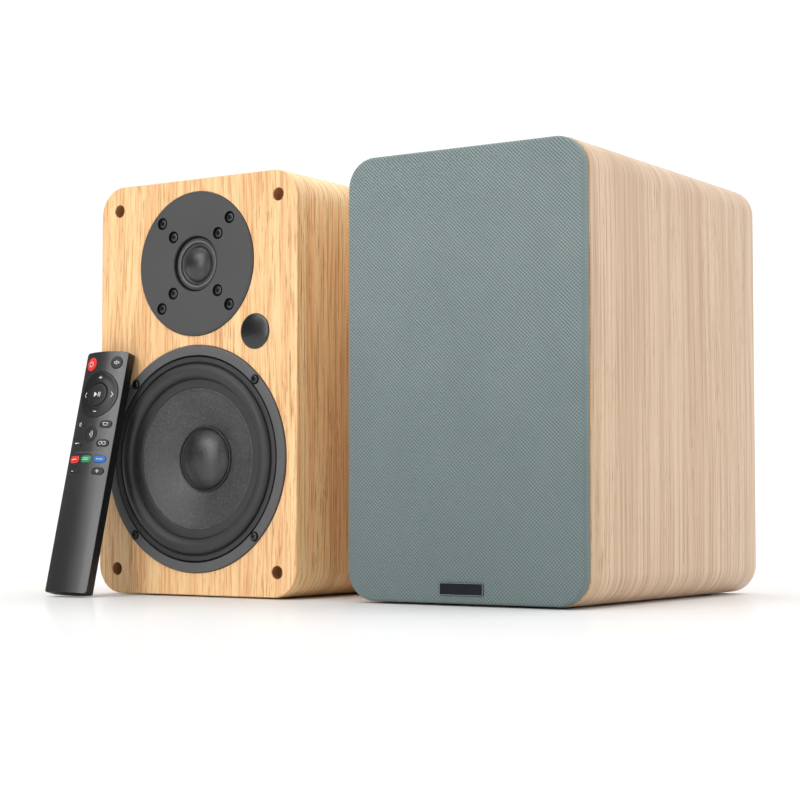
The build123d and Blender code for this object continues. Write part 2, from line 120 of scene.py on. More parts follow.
def remote_place(points):
    """Maps the remote's frame to the scene."""
    x, y, z = np.asarray(points, float).T
    turned = np.outer(x, (1, 0, 0)) + np.outer(y, REMOTE_BACK) + np.outer(z, REMOTE_UP)
    return (REMOTE_ORIGIN + turned) * MM


# ------------------------------------------------------------------ meshes
def new_object(name, verts, faces, place):
    mesh = bpy.data.meshes.new(name)
    points = place(np.asarray(verts, float))
    mesh.from_pydata([tuple(p) for p in points], [], [tuple(face) for face in faces])
    mesh.update()
    obj = bpy.data.objects.new(name, mesh)
    bpy.context.scene.collection.objects.link(obj)
    return obj


class Piece:
    """Collects (verts, faces) shapes into one mesh, with a material index per face."""

    def __init__(self, *shapes):
        self.verts, self.faces, self.index = [], [], []
        for shape in shapes:
            self.add(shape)

    def add(self, shape, index=0):
        verts, faces = shape
        base = len(self.verts)
        self.verts.extend(verts)
        self.faces += [[base + i for i in face] for face in faces]
        self.index += [index] * len(faces)
        return self

    def shape(self):
        return self.verts, self.faces

    def make(self, name, materials, place, body, replaces=(), slot=None, angle=32, grain=None):
        obj = new_object(name, self.verts, self.faces, place)
        if grain:
            layer = obj.data.uv_layers.new(name="grain")
            for corner, uv in zip(layer.data, grain):
                corner.uv = uv
        obj.data.polygons.foreach_set("material_index", self.index)
        return dress(obj, materials, body, replaces, slot, angle)

    def fit(self, side, name, materials, replaced=None, slot=None, angle=32, part="speaker",
            grain=None):
        """Makes a piece of one speaker; replaced and part are names without the side."""
        replaces = [f"{side}_{replaced}"] if replaced else ()
        return self.make(f"{side}_{name}", materials, PLACE[side], f"{side}_{part}", replaces,
                         slot, angle, grain)


def dress(obj, materials, body, replaces=(), slot=None, angle=32):
    """Normals, sharp edges over angle degrees, materials, and the ride on its body."""
    mesh = obj.data
    bm = bmesh.new()
    bm.from_mesh(mesh)
    bmesh.ops.remove_doubles(bm, verts=bm.verts, dist=1e-7)
    bmesh.ops.recalc_face_normals(bm, faces=bm.faces)
    limit = math.radians(angle)
    for face in bm.faces:
        face.smooth = True
    for edge in bm.edges:
        edge.smooth = len(edge.link_faces) == 2 and edge.calc_face_angle(0) < limit
    bm.to_mesh(mesh)
    bm.free()
    # clearing the slots would reset the faces' indices
    index = [polygon.material_index for polygon in mesh.polygons]
    mesh.materials.clear()
    for material in [materials] if isinstance(materials, str) else materials:
        mesh.materials.append(MATERIALS[material])
    mesh.polygons.foreach_set("material_index", index)
    if body:
        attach(obj, body)
    if replaces:
        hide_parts(*replaces)
    return obj


def solid(name, shape, place):
    """A bare object with its faces turned outwards, ready for cutting."""
    obj = new_object(name, *shape, place)
    bm = bmesh.new()
    bm.from_mesh(obj.data)
    bmesh.ops.recalc_face_normals(bm, faces=bm.faces)
    bm.to_mesh(obj.data)
    bm.free()
    return obj


def apply_modifiers(obj, keep_layers=False):
    """Replaces the object's mesh with its evaluated one."""
    graph = bpy.context.evaluated_depsgraph_get()
    options = dict(preserve_all_data_layers=True, depsgraph=graph) if keep_layers else {}
    mesh = bpy.data.meshes.new_from_object(obj.evaluated_get(graph), **options)
    obj.modifiers.clear()
    old = obj.data
    obj.data = mesh
    bpy.data.meshes.remove(old)


def carve(obj, place, *shapes):
    """Cuts closed shapes out of the object."""
    cutters = [solid("cutter", shape, place) for shape in shapes]
    for cutter in cutters:
        cut = obj.modifiers.new("cut", "BOOLEAN")
        cut.operation = "DIFFERENCE"
        cut.solver = "EXACT"
        cut.object = cutter
    apply_modifiers(obj)
    for cutter in cutters:
        bpy.data.objects.remove(cutter)


def rounded(points, steps=5):
    """Rounds an open polyline's corners. Points are (a, b) or (a, b, corner radius)."""
    out = []
    for i, point in enumerate(points):
        if len(point) < 3:
            out.append(point)
            continue
        corner = np.array(point[:2], float)
        before = np.array(points[i - 1][:2], float) - corner
        after = np.array(points[i + 1][:2], float) - corner
        room_before, room_after = np.linalg.norm(before), np.linalg.norm(after)
        before, after = before / room_before, after / room_after
        half = math.acos(max(-1, min(1, float(before @ after)))) / 2
        reach = min(point[2] / math.tan(half), room_before * 0.49, room_after * 0.49)
        radius = reach * math.tan(half)
        middle = (before + after) / np.linalg.norm(before + after)
        centre = corner + middle * radius / math.sin(half)
        start, end = corner + before * reach - centre, corner + after * reach - centre
        sweep = math.atan2(start[0] * end[1] - start[1] * end[0], float(start @ end))
        for k in range(steps + 1):
            cos, sin = math.cos(sweep * k / steps), math.sin(sweep * k / steps)
            out.append((centre[0] + start[0] * cos - start[1] * sin,
                        centre[1] + start[0] * sin + start[1] * cos))
    return out


def lathe(profile, x, z, sides):
    """Turns (radius, y) points about the line along y through (x, z), joining last to first."""
    verts, rings = [], []
    for radius, y in profile:
        if radius < 1e-6:
            rings.append([len(verts)])
            verts.append((x, y, z))
            continue
        rings.append(list(range(len(verts), len(verts) + sides)))
        for k in range(sides):
            turn = 2 * PI * k / sides
            verts.append((x + radius * math.cos(turn), y, z + radius * math.sin(turn)))
    faces = []
    for ring, after in zip(rings, rings[1:] + rings[:1]):
        if len(ring) == 1 and len(after) == 1:
            continue
        for k in range(sides):
            k2 = (k + 1) % sides
            if len(ring) == 1:
                faces.append((ring[0], after[k], after[k2]))
            elif len(after) == 1:
                faces.append((ring[k], after[0], ring[k2]))
            else:
                faces.append((ring[k], after[k], after[k2], ring[k2]))
    return verts, faces


def sheet(profile, thickness):
    """Closes an open profile into a sheet that lies behind it."""
    return profile + [(radius, y + thickness) for radius, y in reversed(profile)]


def outline(width, height, radius, steps=14):
    """(x, z) points of a rounded rectangle, anticlockwise from the middle of its bottom edge."""
    points = [(0.0, -height / 2)]
    right, top = width / 2 - radius, height / 2 - radius
    for x, z, start in ((right, -top, -90), (right, top, 0), (-right, top, 90), (-right, -top, 180)):
        for k in range(steps + 1):
            turn = math.radians(start + 90 * k / steps)
            points.append((x + radius * math.cos(turn), z + radius * math.sin(turn)))
    return points


def bar_along_y(rings, middle_z, loop=False):
    """Skins rounded rectangles (width, height, radius, y) in turn; loop joins last to first."""
    verts, loops = [], []
    for width, height, radius, y in rings:
        points = outline(width, height, radius)
        loops.append(list(range(len(verts), len(verts) + len(points))))
        verts += [(x, y, middle_z + z) for x, z in points]
    faces = []
    for ring, after in zip(loops, loops[1:] + loops[:1] if loop else loops[1:]):
        for k in range(len(ring)):
            k2 = (k + 1) % len(ring)
            faces.append((ring[k], ring[k2], after[k2], after[k]))
    if not loop:
        faces += [tuple(loops[0][::-1]), tuple(loops[-1])]
    return verts, faces


def bar_grain(rings):
    """Grain coordinate per face corner of a looped bar: (distance over the skin, round it)."""
    base = outline(*rings[len(rings) // 2][:3])
    sides = [math.hypot(q[0] - p[0], q[1] - p[1]) for p, q in zip(base, base[1:] + base[:1])]
    steps = [math.hypot(q[3] - p[3], (q[0] - p[0]) / 2) for p, q in zip(rings, rings[1:] + rings[:1])]
    around = list(accumulate(sides, initial=0.0))
    over = list(accumulate(steps, initial=0.0))
    grain = []
    for i in range(len(rings)):
        near, far = over[i] * MM, over[i + 1] * MM
        for k in range(len(base)):
            first, last = around[k] * MM, around[k + 1] * MM
            grain += [(near, first), (near, last), (far, last), (far, first)]
    return grain


def circle(x, z, radius, sides):
    turns = [2 * PI * k / sides for k in range(sides)]
    return [(x + radius * math.cos(turn), z + radius * math.sin(turn)) for turn in turns]


def rect(x0, x1, z0, z1, radius=0.0, steps=6):
    if radius <= 0:
        return [(x0, z0), (x1, z0), (x1, z1), (x0, z1)]
    points = outline(x1 - x0, z1 - z0, radius, steps)[1:]
    return [(x + (x0 + x1) / 2, z + (z0 + z1) / 2) for x, z in points]


def box(x0, x1, y0, y1, z0, z1, bevel=0.0):
    """A box, its edges softened where bevel is given."""
    bm = bmesh.new()
    bmesh.ops.create_cube(bm, size=1.0)
    for vert in bm.verts:
        vert.co = Vector(((x0 + x1) / 2 + vert.co.x * (x1 - x0),
                          (y0 + y1) / 2 + vert.co.y * (y1 - y0),
                          (z0 + z1) / 2 + vert.co.z * (z1 - z0)))
    if bevel > 0:
        bmesh.ops.bevel(bm, geom=list(bm.edges), offset=bevel, segments=3, profile=0.5,
                        affect="EDGES")
    bm.verts.index_update()
    verts = [tuple(vert.co) for vert in bm.verts]
    faces = [tuple(vert.index for vert in face.verts) for face in bm.faces]
    bm.free()
    return verts, faces


def plate(name, outlines, y0, y1, bevel, material, place, body, replaces=(), slot=None, angle=28,
          bevel_steps=2, cuts=()):
    """A flat plate with softened edges, from closed (x, z) outlines: its rim, then its holes."""
    curve = bpy.data.curves.new(name, "CURVE")
    curve.dimensions = "2D"
    curve.fill_mode = "BOTH"
    curve.extrude = max((y1 - y0) / 2 - bevel, 0.0)
    curve.bevel_depth = bevel
    curve.bevel_resolution = bevel_steps
    curve.offset = -bevel
    for points in outlines:
        spline = curve.splines.new("POLY")
        spline.points.add(len(points) - 1)
        spline.points.foreach_set("co", [c for x, z in points for c in (x, z, 0.0, 1.0)])
        spline.use_cyclic_u = True
    flat = bpy.data.objects.new(name + "_curve", curve)
    bpy.context.scene.collection.objects.link(flat)
    graph = bpy.context.evaluated_depsgraph_get()
    mesh = bpy.data.meshes.new_from_object(flat.evaluated_get(graph))
    bpy.data.objects.remove(flat)
    points = np.zeros(len(mesh.vertices) * 3)
    mesh.vertices.foreach_get("co", points)
    x, z, depth = points.reshape(-1, 3).T
    mesh.vertices.foreach_set("co", place(np.stack([x, (y0 + y1) / 2 - depth, z], 1)).ravel())
    mesh.update()
    obj = bpy.data.objects.new(name, mesh)
    bpy.context.scene.collection.objects.link(obj)
    if cuts:
        carve(obj, place, *cuts)
    dress(obj, material, body, replaces, slot, angle)
    # the broad faces set the normals, so that they shade flat up to their soft edges
    even = obj.modifiers.new("even", "WEIGHTED_NORMAL")
    even.keep_sharp = True
    even.weight = 80
    apply_modifiers(obj, keep_layers=True)


# ------------------------------------------------------------------ material nodes
def screen(colour):
    """Linear colour from 0-255 screen values."""
    out = []
    for value in colour:
        value = value / 255
        out.append(value / 12.92 if value <= 0.04045 else ((value + 0.055) / 1.055) ** 2.4)
    return (*out, 1.0)


def toned(colour, factor):
    return tuple(min(1, value * factor) for value in colour[:3]) + (1,)


INPUTS = {
    "color": "Base Color", "rough": "Roughness", "metal": "Metallic", "normal": "Normal",
    "spec": "Specular IOR Level", "coat": "Coat Weight", "coat_rough": "Coat Roughness",
    "sheen": "Sheen Weight", "sheen_rough": "Sheen Roughness", "sheen_tint": "Sheen Tint",
}


class Material:
    """A node material; its methods add nodes and return their output sockets."""

    def __init__(self, name):
        self.material = bpy.data.materials.new(name)
        self.material.use_nodes = True
        self.tree = self.material.node_tree
        self.tree.nodes.clear()
        self.output = self.new("ShaderNodeOutputMaterial")

    def new(self, kind):
        return self.tree.nodes.new(kind)

    def put(self, socket, value):
        if isinstance(value, bpy.types.NodeSocket):
            self.tree.links.new(value, socket)
        else:
            socket.default_value = value

    @cached_property
    def point(self):
        return self.new("ShaderNodeTexCoord").outputs["Object"]

    def math(self, operation, *values):
        node = self.new("ShaderNodeMath")
        node.operation = operation
        for socket, value in zip(node.inputs, values):
            self.put(socket, value)
        return node.outputs[0]

    def add(self, a, b):
        return self.math("ADD", a, b)

    def sub(self, a, b):
        return self.math("SUBTRACT", a, b)

    def mul(self, a, b):
        return self.math("MULTIPLY", a, b)

    def scaled(self, vector, factors):
        node = self.new("ShaderNodeVectorMath")
        node.operation = "MULTIPLY"
        self.put(node.inputs[0], vector)
        self.put(node.inputs[1], factors)
        return node.outputs[0]

    def split(self, vector):
        node = self.new("ShaderNodeSeparateXYZ")
        self.put(node.inputs[0], vector)
        return node.outputs[0], node.outputs[1], node.outputs[2]

    def join(self, *values):
        node = self.new("ShaderNodeCombineXYZ")
        for socket, value in zip(node.inputs, values):
            self.put(socket, value)
        return node.outputs[0]

    def noise(self, vector, scale=1.0, detail=2.0, rough=0.5, distortion=0.0):
        node = self.new("ShaderNodeTexNoise")
        self.put(node.inputs["Vector"], vector)
        node.inputs["Scale"].default_value = scale
        node.inputs["Detail"].default_value = detail
        node.inputs["Roughness"].default_value = rough
        node.inputs["Distortion"].default_value = distortion
        return node.outputs[0]

    def voronoi(self, vector, scale):
        node = self.new("ShaderNodeTexVoronoi")
        self.put(node.inputs["Vector"], vector)
        node.inputs["Scale"].default_value = scale
        return node.outputs[0]

    def span(self, value, source=(0.3, 0.7), target=(0.0, 1.0), kind="LINEAR"):
        """Maps the source range to the target range. The default source suits a noise."""
        node = self.new("ShaderNodeMapRange")
        node.interpolation_type = kind
        self.put(node.inputs["Value"], value)
        for key, limit in zip(("From Min", "From Max", "To Min", "To Max"), (*source, *target)):
            node.inputs[key].default_value = limit
        return node.outputs[0]

    def smooth(self, value, source, target=(0.0, 1.0)):
        return self.span(value, source, target, "SMOOTHSTEP")

    def mix(self, factor, a, b):
        node = self.new("ShaderNodeMix")
        node.data_type = "RGBA"
        self.put(node.inputs[0], factor)
        self.put(node.inputs[6], a)
        self.put(node.inputs[7], b)
        return node.outputs[2]

    def lay(self, color, over, value, between, amount):
        """Lays a colour over another where the value passes through a range."""
        return self.mix(self.mul(self.smooth(value, between), amount), color, over)

    def bump(self, height, strength, distance):
        node = self.new("ShaderNodeBump")
        node.inputs["Strength"].default_value = strength
        node.inputs["Distance"].default_value = distance
        self.put(node.inputs["Height"], height)
        return node.outputs[0]

    def principled(self, **values):
        shader = self.new("ShaderNodeBsdfPrincipled")
        self.tree.links.new(shader.outputs[0], self.output.inputs[0])
        for key, value in values.items():
            self.put(shader.inputs[INPUTS[key]], value)
        return self.material


# ------------------------------------------------------------------ kinds of material
# wood noises: (cycles per metre across, along the grain, seed shift, detail, roughness)
GRAIN = {
    "wander": (7, 2.2, 1.3, 2, 0.5), "waver": (45, 9, 5.1, 1, 0.5), "band": (95, 1.3, 2.2, 2, 0.5),
    "streak": (330, 6.0, 7.7, 2, 0.6), "fibre": (2300, 60, 13.9, 2, 0.6),
    "long_pore": (900, 52, 17.3, 1, 0.5), "short_pore": (1700, 110, 19.3, 1, 0.5),
    "figure_wobble": (14, 4, 31.0, 3, 0.6), "figure_patch": (40, 14, 41.0, 2, 0.5),
    "pore_patch": (60, 5, 23.0, 2, 0.5),
}


def wood(name, tones, across_from, seed, figure=None, contrast=1.0, broken=19.0, pored=1.0):
    """Straight-grained oak film: bands, streaks, fibre and short pores along the grain.

    tones are light, mid, dark and pore. across_from says what is read across the grain: x or -x,
    with z along it, or grain, the grain coordinate. broken is how often the fine lines break."""
    mat = Material(name)
    light, mid, dark, pore = map(screen, tones)
    if across_from == "grain":
        grain = mat.new("ShaderNodeUVMap")
        grain.uv_map = "grain"
        across, along, _ = mat.split(grain.outputs[0])
    else:
        across, _, along = mat.split(mat.point)
        if across_from == "-x":
            across = mat.mul(across, -1.0)
    kinds = dict(GRAIN, fine=(690, broken, 11.1, 2, 0.65))

    def texture(kind):
        rate_across, rate_along, shift, detail, rough = kinds[kind]
        vector = mat.join(mat.mul(across, rate_across), mat.mul(along, rate_along), seed + shift)
        return mat.noise(vector, detail=detail, rough=rough)

    # the grain wanders a little from straight
    wander = mat.sub(texture("wander"), 0.5)
    waver = mat.sub(texture("waver"), 0.5)
    across = mat.add(across, mat.add(mat.mul(wander, 0.020), mat.mul(waver, 0.0016)))
    band, streak, fine = texture("band"), texture("streak"), texture("fine")
    fibre, long_pore, short_pore = texture("fibre"), texture("long_pore"), texture("short_pore")
    color = mat.mix(mat.smooth(band, (0.38, 0.62)), light, mid)
    color = mat.lay(color, dark, streak, between=(0.52, 0.68), amount=0.30 * contrast)
    color = mat.lay(color, light, streak, between=(0.46, 0.34), amount=0.55)
    if figure:
        # nested arches round a line along the grain
        aside = mat.sub(across, figure["across"])
        ahead = mat.sub(along, figure["along"])
        wobble = mat.mul(mat.sub(texture("figure_wobble"), 0.5), 0.16)
        arch = mat.add(mat.mul(mat.mul(aside, aside), figure["steep"]), mat.add(ahead, wobble))
        ring = mat.math("SINE", mat.mul(arch, figure["frequency"]))
        ring = mat.smooth(ring, (0.25, 0.98))
        width = figure["width"]
        mask = mat.smooth(mat.math("ABSOLUTE", aside), (width, width * 0.3))
        mask = mat.mul(mask, mat.smooth(texture("figure_patch"), (0.38, 0.6), (0.2, 1.0)))
        color = mat.mix(mat.mul(mat.mul(ring, mask), 0.40 * contrast), color, dark)
    color = mat.lay(color, dark, fine, between=(0.51, 0.63), amount=0.62 * contrast)
    color = mat.lay(color, light, fine, between=(0.46, 0.36), amount=0.45)
    color = mat.lay(color, dark, fibre, between=(0.52, 0.72), amount=0.20 * contrast)
    patch = mat.smooth(texture("pore_patch"), (0.40, 0.60), (0.25, 1.0))
    pores = mat.mul(mat.smooth(long_pore, (0.62, 0.70)), patch)
    small_pores = mat.mul(mat.smooth(short_pore, (0.64, 0.72)), patch)
    color = mat.mix(mat.mul(pores, 0.52 * contrast * pored), color, pore)
    color = mat.mix(mat.mul(small_pores, 0.42 * contrast * pored), color, pore)
    height = mat.add(mat.mul(fibre, 0.35), mat.mul(fine, 0.4))
    height = mat.sub(height, mat.mul(pores, 0.7))
    rough = mat.add(mat.span(streak, target=(0.35, 0.47)), mat.mul(pores, 0.12))
    return mat.principled(color=color, rough=rough, spec=0.45, coat=0.22, coat_rough=0.26,
                          normal=mat.bump(height, strength=0.20, distance=0.0001))


def moulded(name, tone, rough, grain, depth, drift, spec, coat):
    """Moulded plastic or paint: a fine grain and a little drift in tone and polish."""
    mat = Material(name)
    color = screen(tone)
    broad = mat.noise(mat.point, scale=18, detail=3, rough=0.6)
    pits = mat.noise(mat.point, scale=1000 / grain, detail=2, rough=0.6)
    cells = mat.voronoi(mat.point, scale=1000 / (grain * 1.8))
    bright = toned(color, 1 + drift)
    color = mat.mix(mat.span(broad), toned(color, 1 - drift), bright)
    color = mat.mix(mat.mul(mat.span(pits, (0.35, 0.7)), 0.25), color, bright)
    roughness = mat.add(mat.span(broad, target=(rough - 0.05, rough + 0.05)),
                        mat.span(pits, target=(-0.04, 0.04)))
    height = mat.add(pits, mat.mul(cells, 0.5))
    return mat.principled(color=color, rough=roughness, spec=spec, coat=coat, coat_rough=0.12,
                          normal=mat.bump(height, strength=depth, distance=grain * 0.25 * MM))


def metal(name, tone, rough, turned, drift, metallic):
    """Plated or brushed metal; turned metal has its lines round the y axis."""
    mat = Material(name)
    color = screen(tone)
    if turned:
        _, y, _ = mat.split(mat.point)
        lines = mat.noise(mat.join(mat.mul(y, 4000), 0.0, 0.0))
    else:
        lines = mat.noise(mat.scaled(mat.point, (300, 300, 4000)))
    smudge = mat.noise(mat.point, scale=60, detail=3, rough=0.6)
    roughness = mat.add(mat.span(smudge, target=(rough - 0.05, rough + 0.08)),
                        mat.span(lines, target=(-0.03, 0.05)))
    return mat.principled(color=mat.mix(mat.span(smudge), toned(color, 1 - drift), color),
                          rough=roughness, metal=metallic,
                          normal=mat.bump(lines, strength=0.12, distance=0.00003))


def paper(name, tone, fleck, rough, scale, strength, spec):
    """Pressed pulp: fibres and flecks, darker in soft patches."""
    mat = Material(name)
    base = screen(tone)
    fine = mat.noise(mat.point, scale=1500 * scale, detail=3, rough=0.65)
    coarse = mat.noise(mat.point, scale=600 * scale, detail=3, rough=0.7, distortion=0.6)
    soft = mat.noise(mat.point, scale=45)
    pulp = mat.add(mat.mul(fine, 0.6), mat.mul(coarse, 0.4))
    color = mat.mix(mat.smooth(pulp, (0.44, 0.62)), base, screen(fleck))
    color = mat.lay(color, toned(base, 0.72), soft, between=(0.45, 0.7), amount=0.35)
    height = mat.add(mat.mul(fine, 0.5), mat.mul(coarse, 0.7))
    return mat.principled(color=color, spec=spec, sheen=0.06, sheen_rough=0.5,
                          rough=mat.span(coarse, target=(rough - 0.08, rough + 0.08)),
                          normal=mat.bump(height, strength=strength, distance=0.0003))


def rubber(name, tone, rough, spec, sheen):
    mat = Material(name)
    color = screen(tone)
    fine = mat.noise(mat.point, scale=900, detail=2, rough=0.6)
    broad = mat.noise(mat.point, scale=30, detail=3, rough=0.55)
    roughness = mat.add(mat.span(broad, target=(rough - 0.06, rough + 0.06)),
                        mat.span(fine, target=(-0.03, 0.03)))
    return mat.principled(color=mat.mix(mat.span(broad), color, toned(color, 1.25)),
                          rough=roughness, spec=spec, sheen=sheen, sheen_rough=0.4,
                          normal=mat.bump(fine, strength=0.10, distance=0.00008))


def weave(name, dark_tone, light_tone):
    """Plain-woven cloth: threads over and under, the over-floats leaning into diagonal ribs."""
    pitch = 1.28
    mat = Material(name)
    dark, light = screen(dark_tone), screen(light_tone)
    x, y, z = mat.split(mat.point)
    sway = mat.mul(mat.sub(mat.noise(mat.point, scale=55), 0.5), 0.0011)
    stretched = mat.scaled(mat.point, (1, 1, 1.4))
    sway_z = mat.mul(mat.sub(mat.noise(stretched, scale=61), 0.5), 0.0011)
    warp = mat.mul(mat.add(x, sway), PI / (pitch * MM))
    weft = mat.mul(mat.add(z, sway_z), PI / (pitch * 0.94 * MM))
    cross = mat.mul(mat.math("SINE", warp), mat.math("SINE", weft))
    rib = mat.mul(mat.math("COSINE", mat.add(warp, weft)), -0.5)
    threads = mat.add(mat.mul(cross, 0.72), mat.mul(rib, 0.62))
    swell = mat.noise(mat.point, scale=420, detail=2, rough=0.6)
    threads = mat.mul(threads, mat.span(swell, target=(0.55, 1.25)))
    # the weave fades where the cloth turns away from the y axis
    geometry = mat.new("ShaderNodeNewGeometry")
    _, normal_y, _ = mat.split(geometry.outputs["True Normal"])
    facing = mat.smooth(mat.math("ABSOLUTE", normal_y), (0.75, 0.98), (0.18, 1.0))
    threads = mat.mul(threads, facing)
    fuzz = mat.noise(mat.point, scale=2600, detail=2, rough=0.7)
    drift = mat.noise(mat.scaled(mat.point, (30, 30, 22)), detail=4, rough=0.65)
    tone = mat.add(mat.mul(threads, 0.5), 0.5)
    tone = mat.add(tone, mat.mul(mat.sub(fuzz, 0.5), 0.25))
    color = mat.mix(mat.span(tone, (0.05, 0.95)), dark, light)
    color = mat.lay(color, dark, drift, between=(0.34, 0.66), amount=0.12)
    # painted shade: the cloth is darker towards the floor, as if less light reached its lower part
    color = mat.mix(mat.smooth(z, (0.03, 0.26), (0.44, 0.02)), color, dark)
    height = mat.add(threads, mat.mul(fuzz, 0.3))
    return mat.principled(color=color, rough=0.82, spec=0.25, sheen=0.25, sheen_rough=0.45,
                          sheen_tint=light, normal=mat.bump(height, strength=0.45, distance=0.00025))


# ------------------------------------------------------------------ materials
MATERIALS = {
    "oak_front": wood(
        "oak_front", [(253, 213, 158), (246, 196, 142), (214, 151, 96), (172, 108, 58)],
        across_from="x", seed=3.0, contrast=1.2),
    # painted light: both cabinets wear one veneer; the left wrap's warmer honey tones and the right
    # wrap's paler, pinker ones stand for the different light on each cabinet
    "oak_left_wrap": wood(
        "oak_left_wrap", [(255, 224, 170), (250, 203, 147), (206, 151, 96), (160, 109, 62)],
        across_from="grain", seed=11.0, contrast=1.3, broken=11.0,
        figure=dict(across=0.215, along=0.55, width=0.035, steep=700.0, frequency=150.0)),
    "oak_right_wrap": wood(
        "oak_right_wrap", [(216, 187, 156), (201, 170, 138), (175, 138, 103), (148, 109, 76)],
        across_from="grain", seed=23.0, contrast=1.15, broken=5.5, pored=0.7,
        figure=dict(across=0.186, along=0.30, width=0.034, steep=750.0, frequency=170.0)),
    "oak_back": wood(
        "oak_back", [(240, 208, 165), (226, 186, 140), (190, 146, 102), (150, 108, 70)],
        across_from="-x", seed=37.0),
    "grille_weave": weave("grille_weave", (88, 103, 103), (153, 166, 166)),
}
TABLES = {
    # name: screen colour, roughness, grain size in mm, bump strength, tone drift, specular, coat
    moulded: {
        "mdf_socket": ((176, 130, 88), 0.85, 0.6, 0.4, 0.25, 0.2, 0.0),
        "driver_flange": ((92, 92, 93), 0.50, 0.22, 0.16, 0.05, 0.35, 0.0),
        "tweeter_plate": ((77, 77, 77), 0.55, 0.22, 0.12, 0.04, 0.30, 0.0),
        # black plastic, and painted shade where it is laid in grooves, bores, recesses and holes
        "shadow_black": ((14, 14, 14), 0.8, 0.5, 0.1, 0.1, 0.2, 0.0),
        "dome_ring": ((98, 100, 101), 0.32, 0.3, 0.05, 0.06, 0.6, 0.0),
        "receiver_plastic": ((20, 20, 21), 0.30, 0.9, 0.01, 0.1, 0.6, 0.25),
        "port_plastic": ((34, 34, 35), 0.42, 0.3, 0.12, 0.1, 0.5, 0.0),
        "powder_coat": ((38, 38, 40), 0.55, 0.45, 0.5, 0.12, 0.4, 0.0),
        "socket_plastic": ((28, 28, 29), 0.35, 0.4, 0.08, 0.1, 0.5, 0.0),
        "knob_plastic": ((36, 36, 37), 0.42, 0.3, 0.12, 0.1, 0.5, 0.0),
        "white_ink": ((222, 222, 222), 0.55, 0.2, 0.05, 0.03, 0.3, 0.0),
        "grey_ink": ((120, 120, 122), 0.55, 0.2, 0.05, 0.03, 0.3, 0.0),
        "red_plastic": ((178, 32, 28), 0.38, 0.4, 0.06, 0.12, 0.5, 0.0),
        "white_plastic": ((214, 214, 210), 0.4, 0.4, 0.06, 0.12, 0.5, 0.0),
        "cloth_back": ((60, 70, 70), 0.9, 0.7, 0.5, 0.12, 0.5, 0.0),
        "frame_plastic": ((30, 30, 31), 0.6, 0.5, 0.3, 0.12, 0.5, 0.0),
        "remote_face": ((38, 38, 39), 0.34, 0.28, 0.08, 0.06, 0.8, 0.25),
        "remote_side": ((18, 18, 19), 0.40, 0.4, 0.15, 0.1, 0.45, 0.0),
        "key_ring_plastic": ((24, 24, 25), 0.36, 0.35, 0.06, 0.1, 0.5, 0.0),
        "solder_mask": ((22, 84, 46), 0.35, 0.8, 0.1, 0.2, 0.5, 0.0),
        "ferrite": ((44, 44, 46), 0.7, 0.8, 0.4, 0.15, 0.5, 0.0),
        "cell_wrap": ((36, 36, 40), 0.3, 0.8, 0.03, 0.12, 0.5, 0.0),
    },
    # name: screen colour, roughness, turned, tone drift, metallic
    metal: {
        "black_screw": ((86, 88, 90), 0.26, False, 0.2, 0.95),
        "plated_contact": ((214, 178, 108), 0.24, False, 0.08, 1.0),
        "nickel": ((190, 190, 188), 0.25, True, 0.08, 1.0),
        "badge_plate": ((30, 34, 38), 0.34, False, 0.1, 0.7),
        "badge_edge": ((170, 172, 174), 0.3, False, 0.08, 1.0),
        "motor_steel": ((168, 168, 166), 0.35, False, 0.08, 1.0),
        "copper": ((190, 110, 64), 0.3, True, 0.08, 1.0),
    },
    # name: base and fleck screen colours, roughness, texture scale, bump strength, specular
    paper: {
        "cone_paper": ((50, 50, 50), (86, 88, 88), 0.46, 0.95, 0.5, 0.6),
        "cap_paper": ((20, 20, 20), (46, 48, 48), 0.36, 0.75, 0.34, 0.85),
        "spider_cloth": ((168, 138, 78), (190, 160, 98), 0.8, 1.0, 0.5, 0.35),
    },
    # name: screen colour, roughness, specular, sheen
    rubber: {
        "surround_rubber": ((46, 46, 46), 0.48, 0.5, 0.04),
        "dome_silk": ((34, 35, 36), 0.34, 0.7, 0.15),
        "pad_rubber": ((40, 40, 40), 0.75, 0.2, 0.08),
        "key_rubber": ((27, 27, 28), 0.46, 0.45, 0.05),
        "key_red": ((214, 48, 38), 0.42, 0.4, 0.05),
        "key_green": ((34, 128, 78), 0.42, 0.4, 0.05),
        "key_blue": ((36, 92, 168), 0.42, 0.4, 0.05),
    },
}
for kind, rows in TABLES.items():
    for name, row in rows.items():
        MATERIALS[name] = kind(name, *row)


# ------------------------------------------------------------------ cabinet and baffle
# From here on a profile lists (radius, y) or (radius, y, corner radius).
def board_outline(inset, radius, steps=6):
    return rect(-CAB_W / 2 + inset, CAB_W / 2 - inset, CAB_BOTTOM + inset, CAB_TOP - inset,
                radius, steps)


def cabinet(side):
    """A rounded tube with a wall, open at both ends."""
    height = CAB_TOP - CAB_BOTTOM
    # (taken off width and height, taken off corner radius, y): outside to the back, then inside
    sections = [
        (0.5, 0.25, 0.35), (0.15, 0.08, 0.5), (0, 0, 0.85), (0, 0, 60), (0, 0, 120), (0, 0, 180),
        (0, 0, CAB_BACK - 1.3), (0.35, 0.18, CAB_BACK - 0.5), (1.3, 0.65, CAB_BACK - 0.02),
        (2 * WALL - 1.2, WALL - 0.6, CAB_BACK - 0.02), (2 * WALL, WALL, CAB_BACK - 0.7),
        (2 * WALL, WALL, BAFFLE_T + 0.1), (0.6, 0.3, BAFFLE_T + 0.1),
    ]
    rings = [(CAB_W - trim, height - trim, EDGE_R - corner, y) for trim, corner, y in sections]
    tube = bar_along_y(rings, (CAB_TOP + CAB_BOTTOM) / 2, loop=True)
    Piece(tube).fit(side, "cabinet_wrap", f"oak_{side}_wrap", "cabinet", "cabinet_oak", 40,
                    grain=bar_grain(rings))


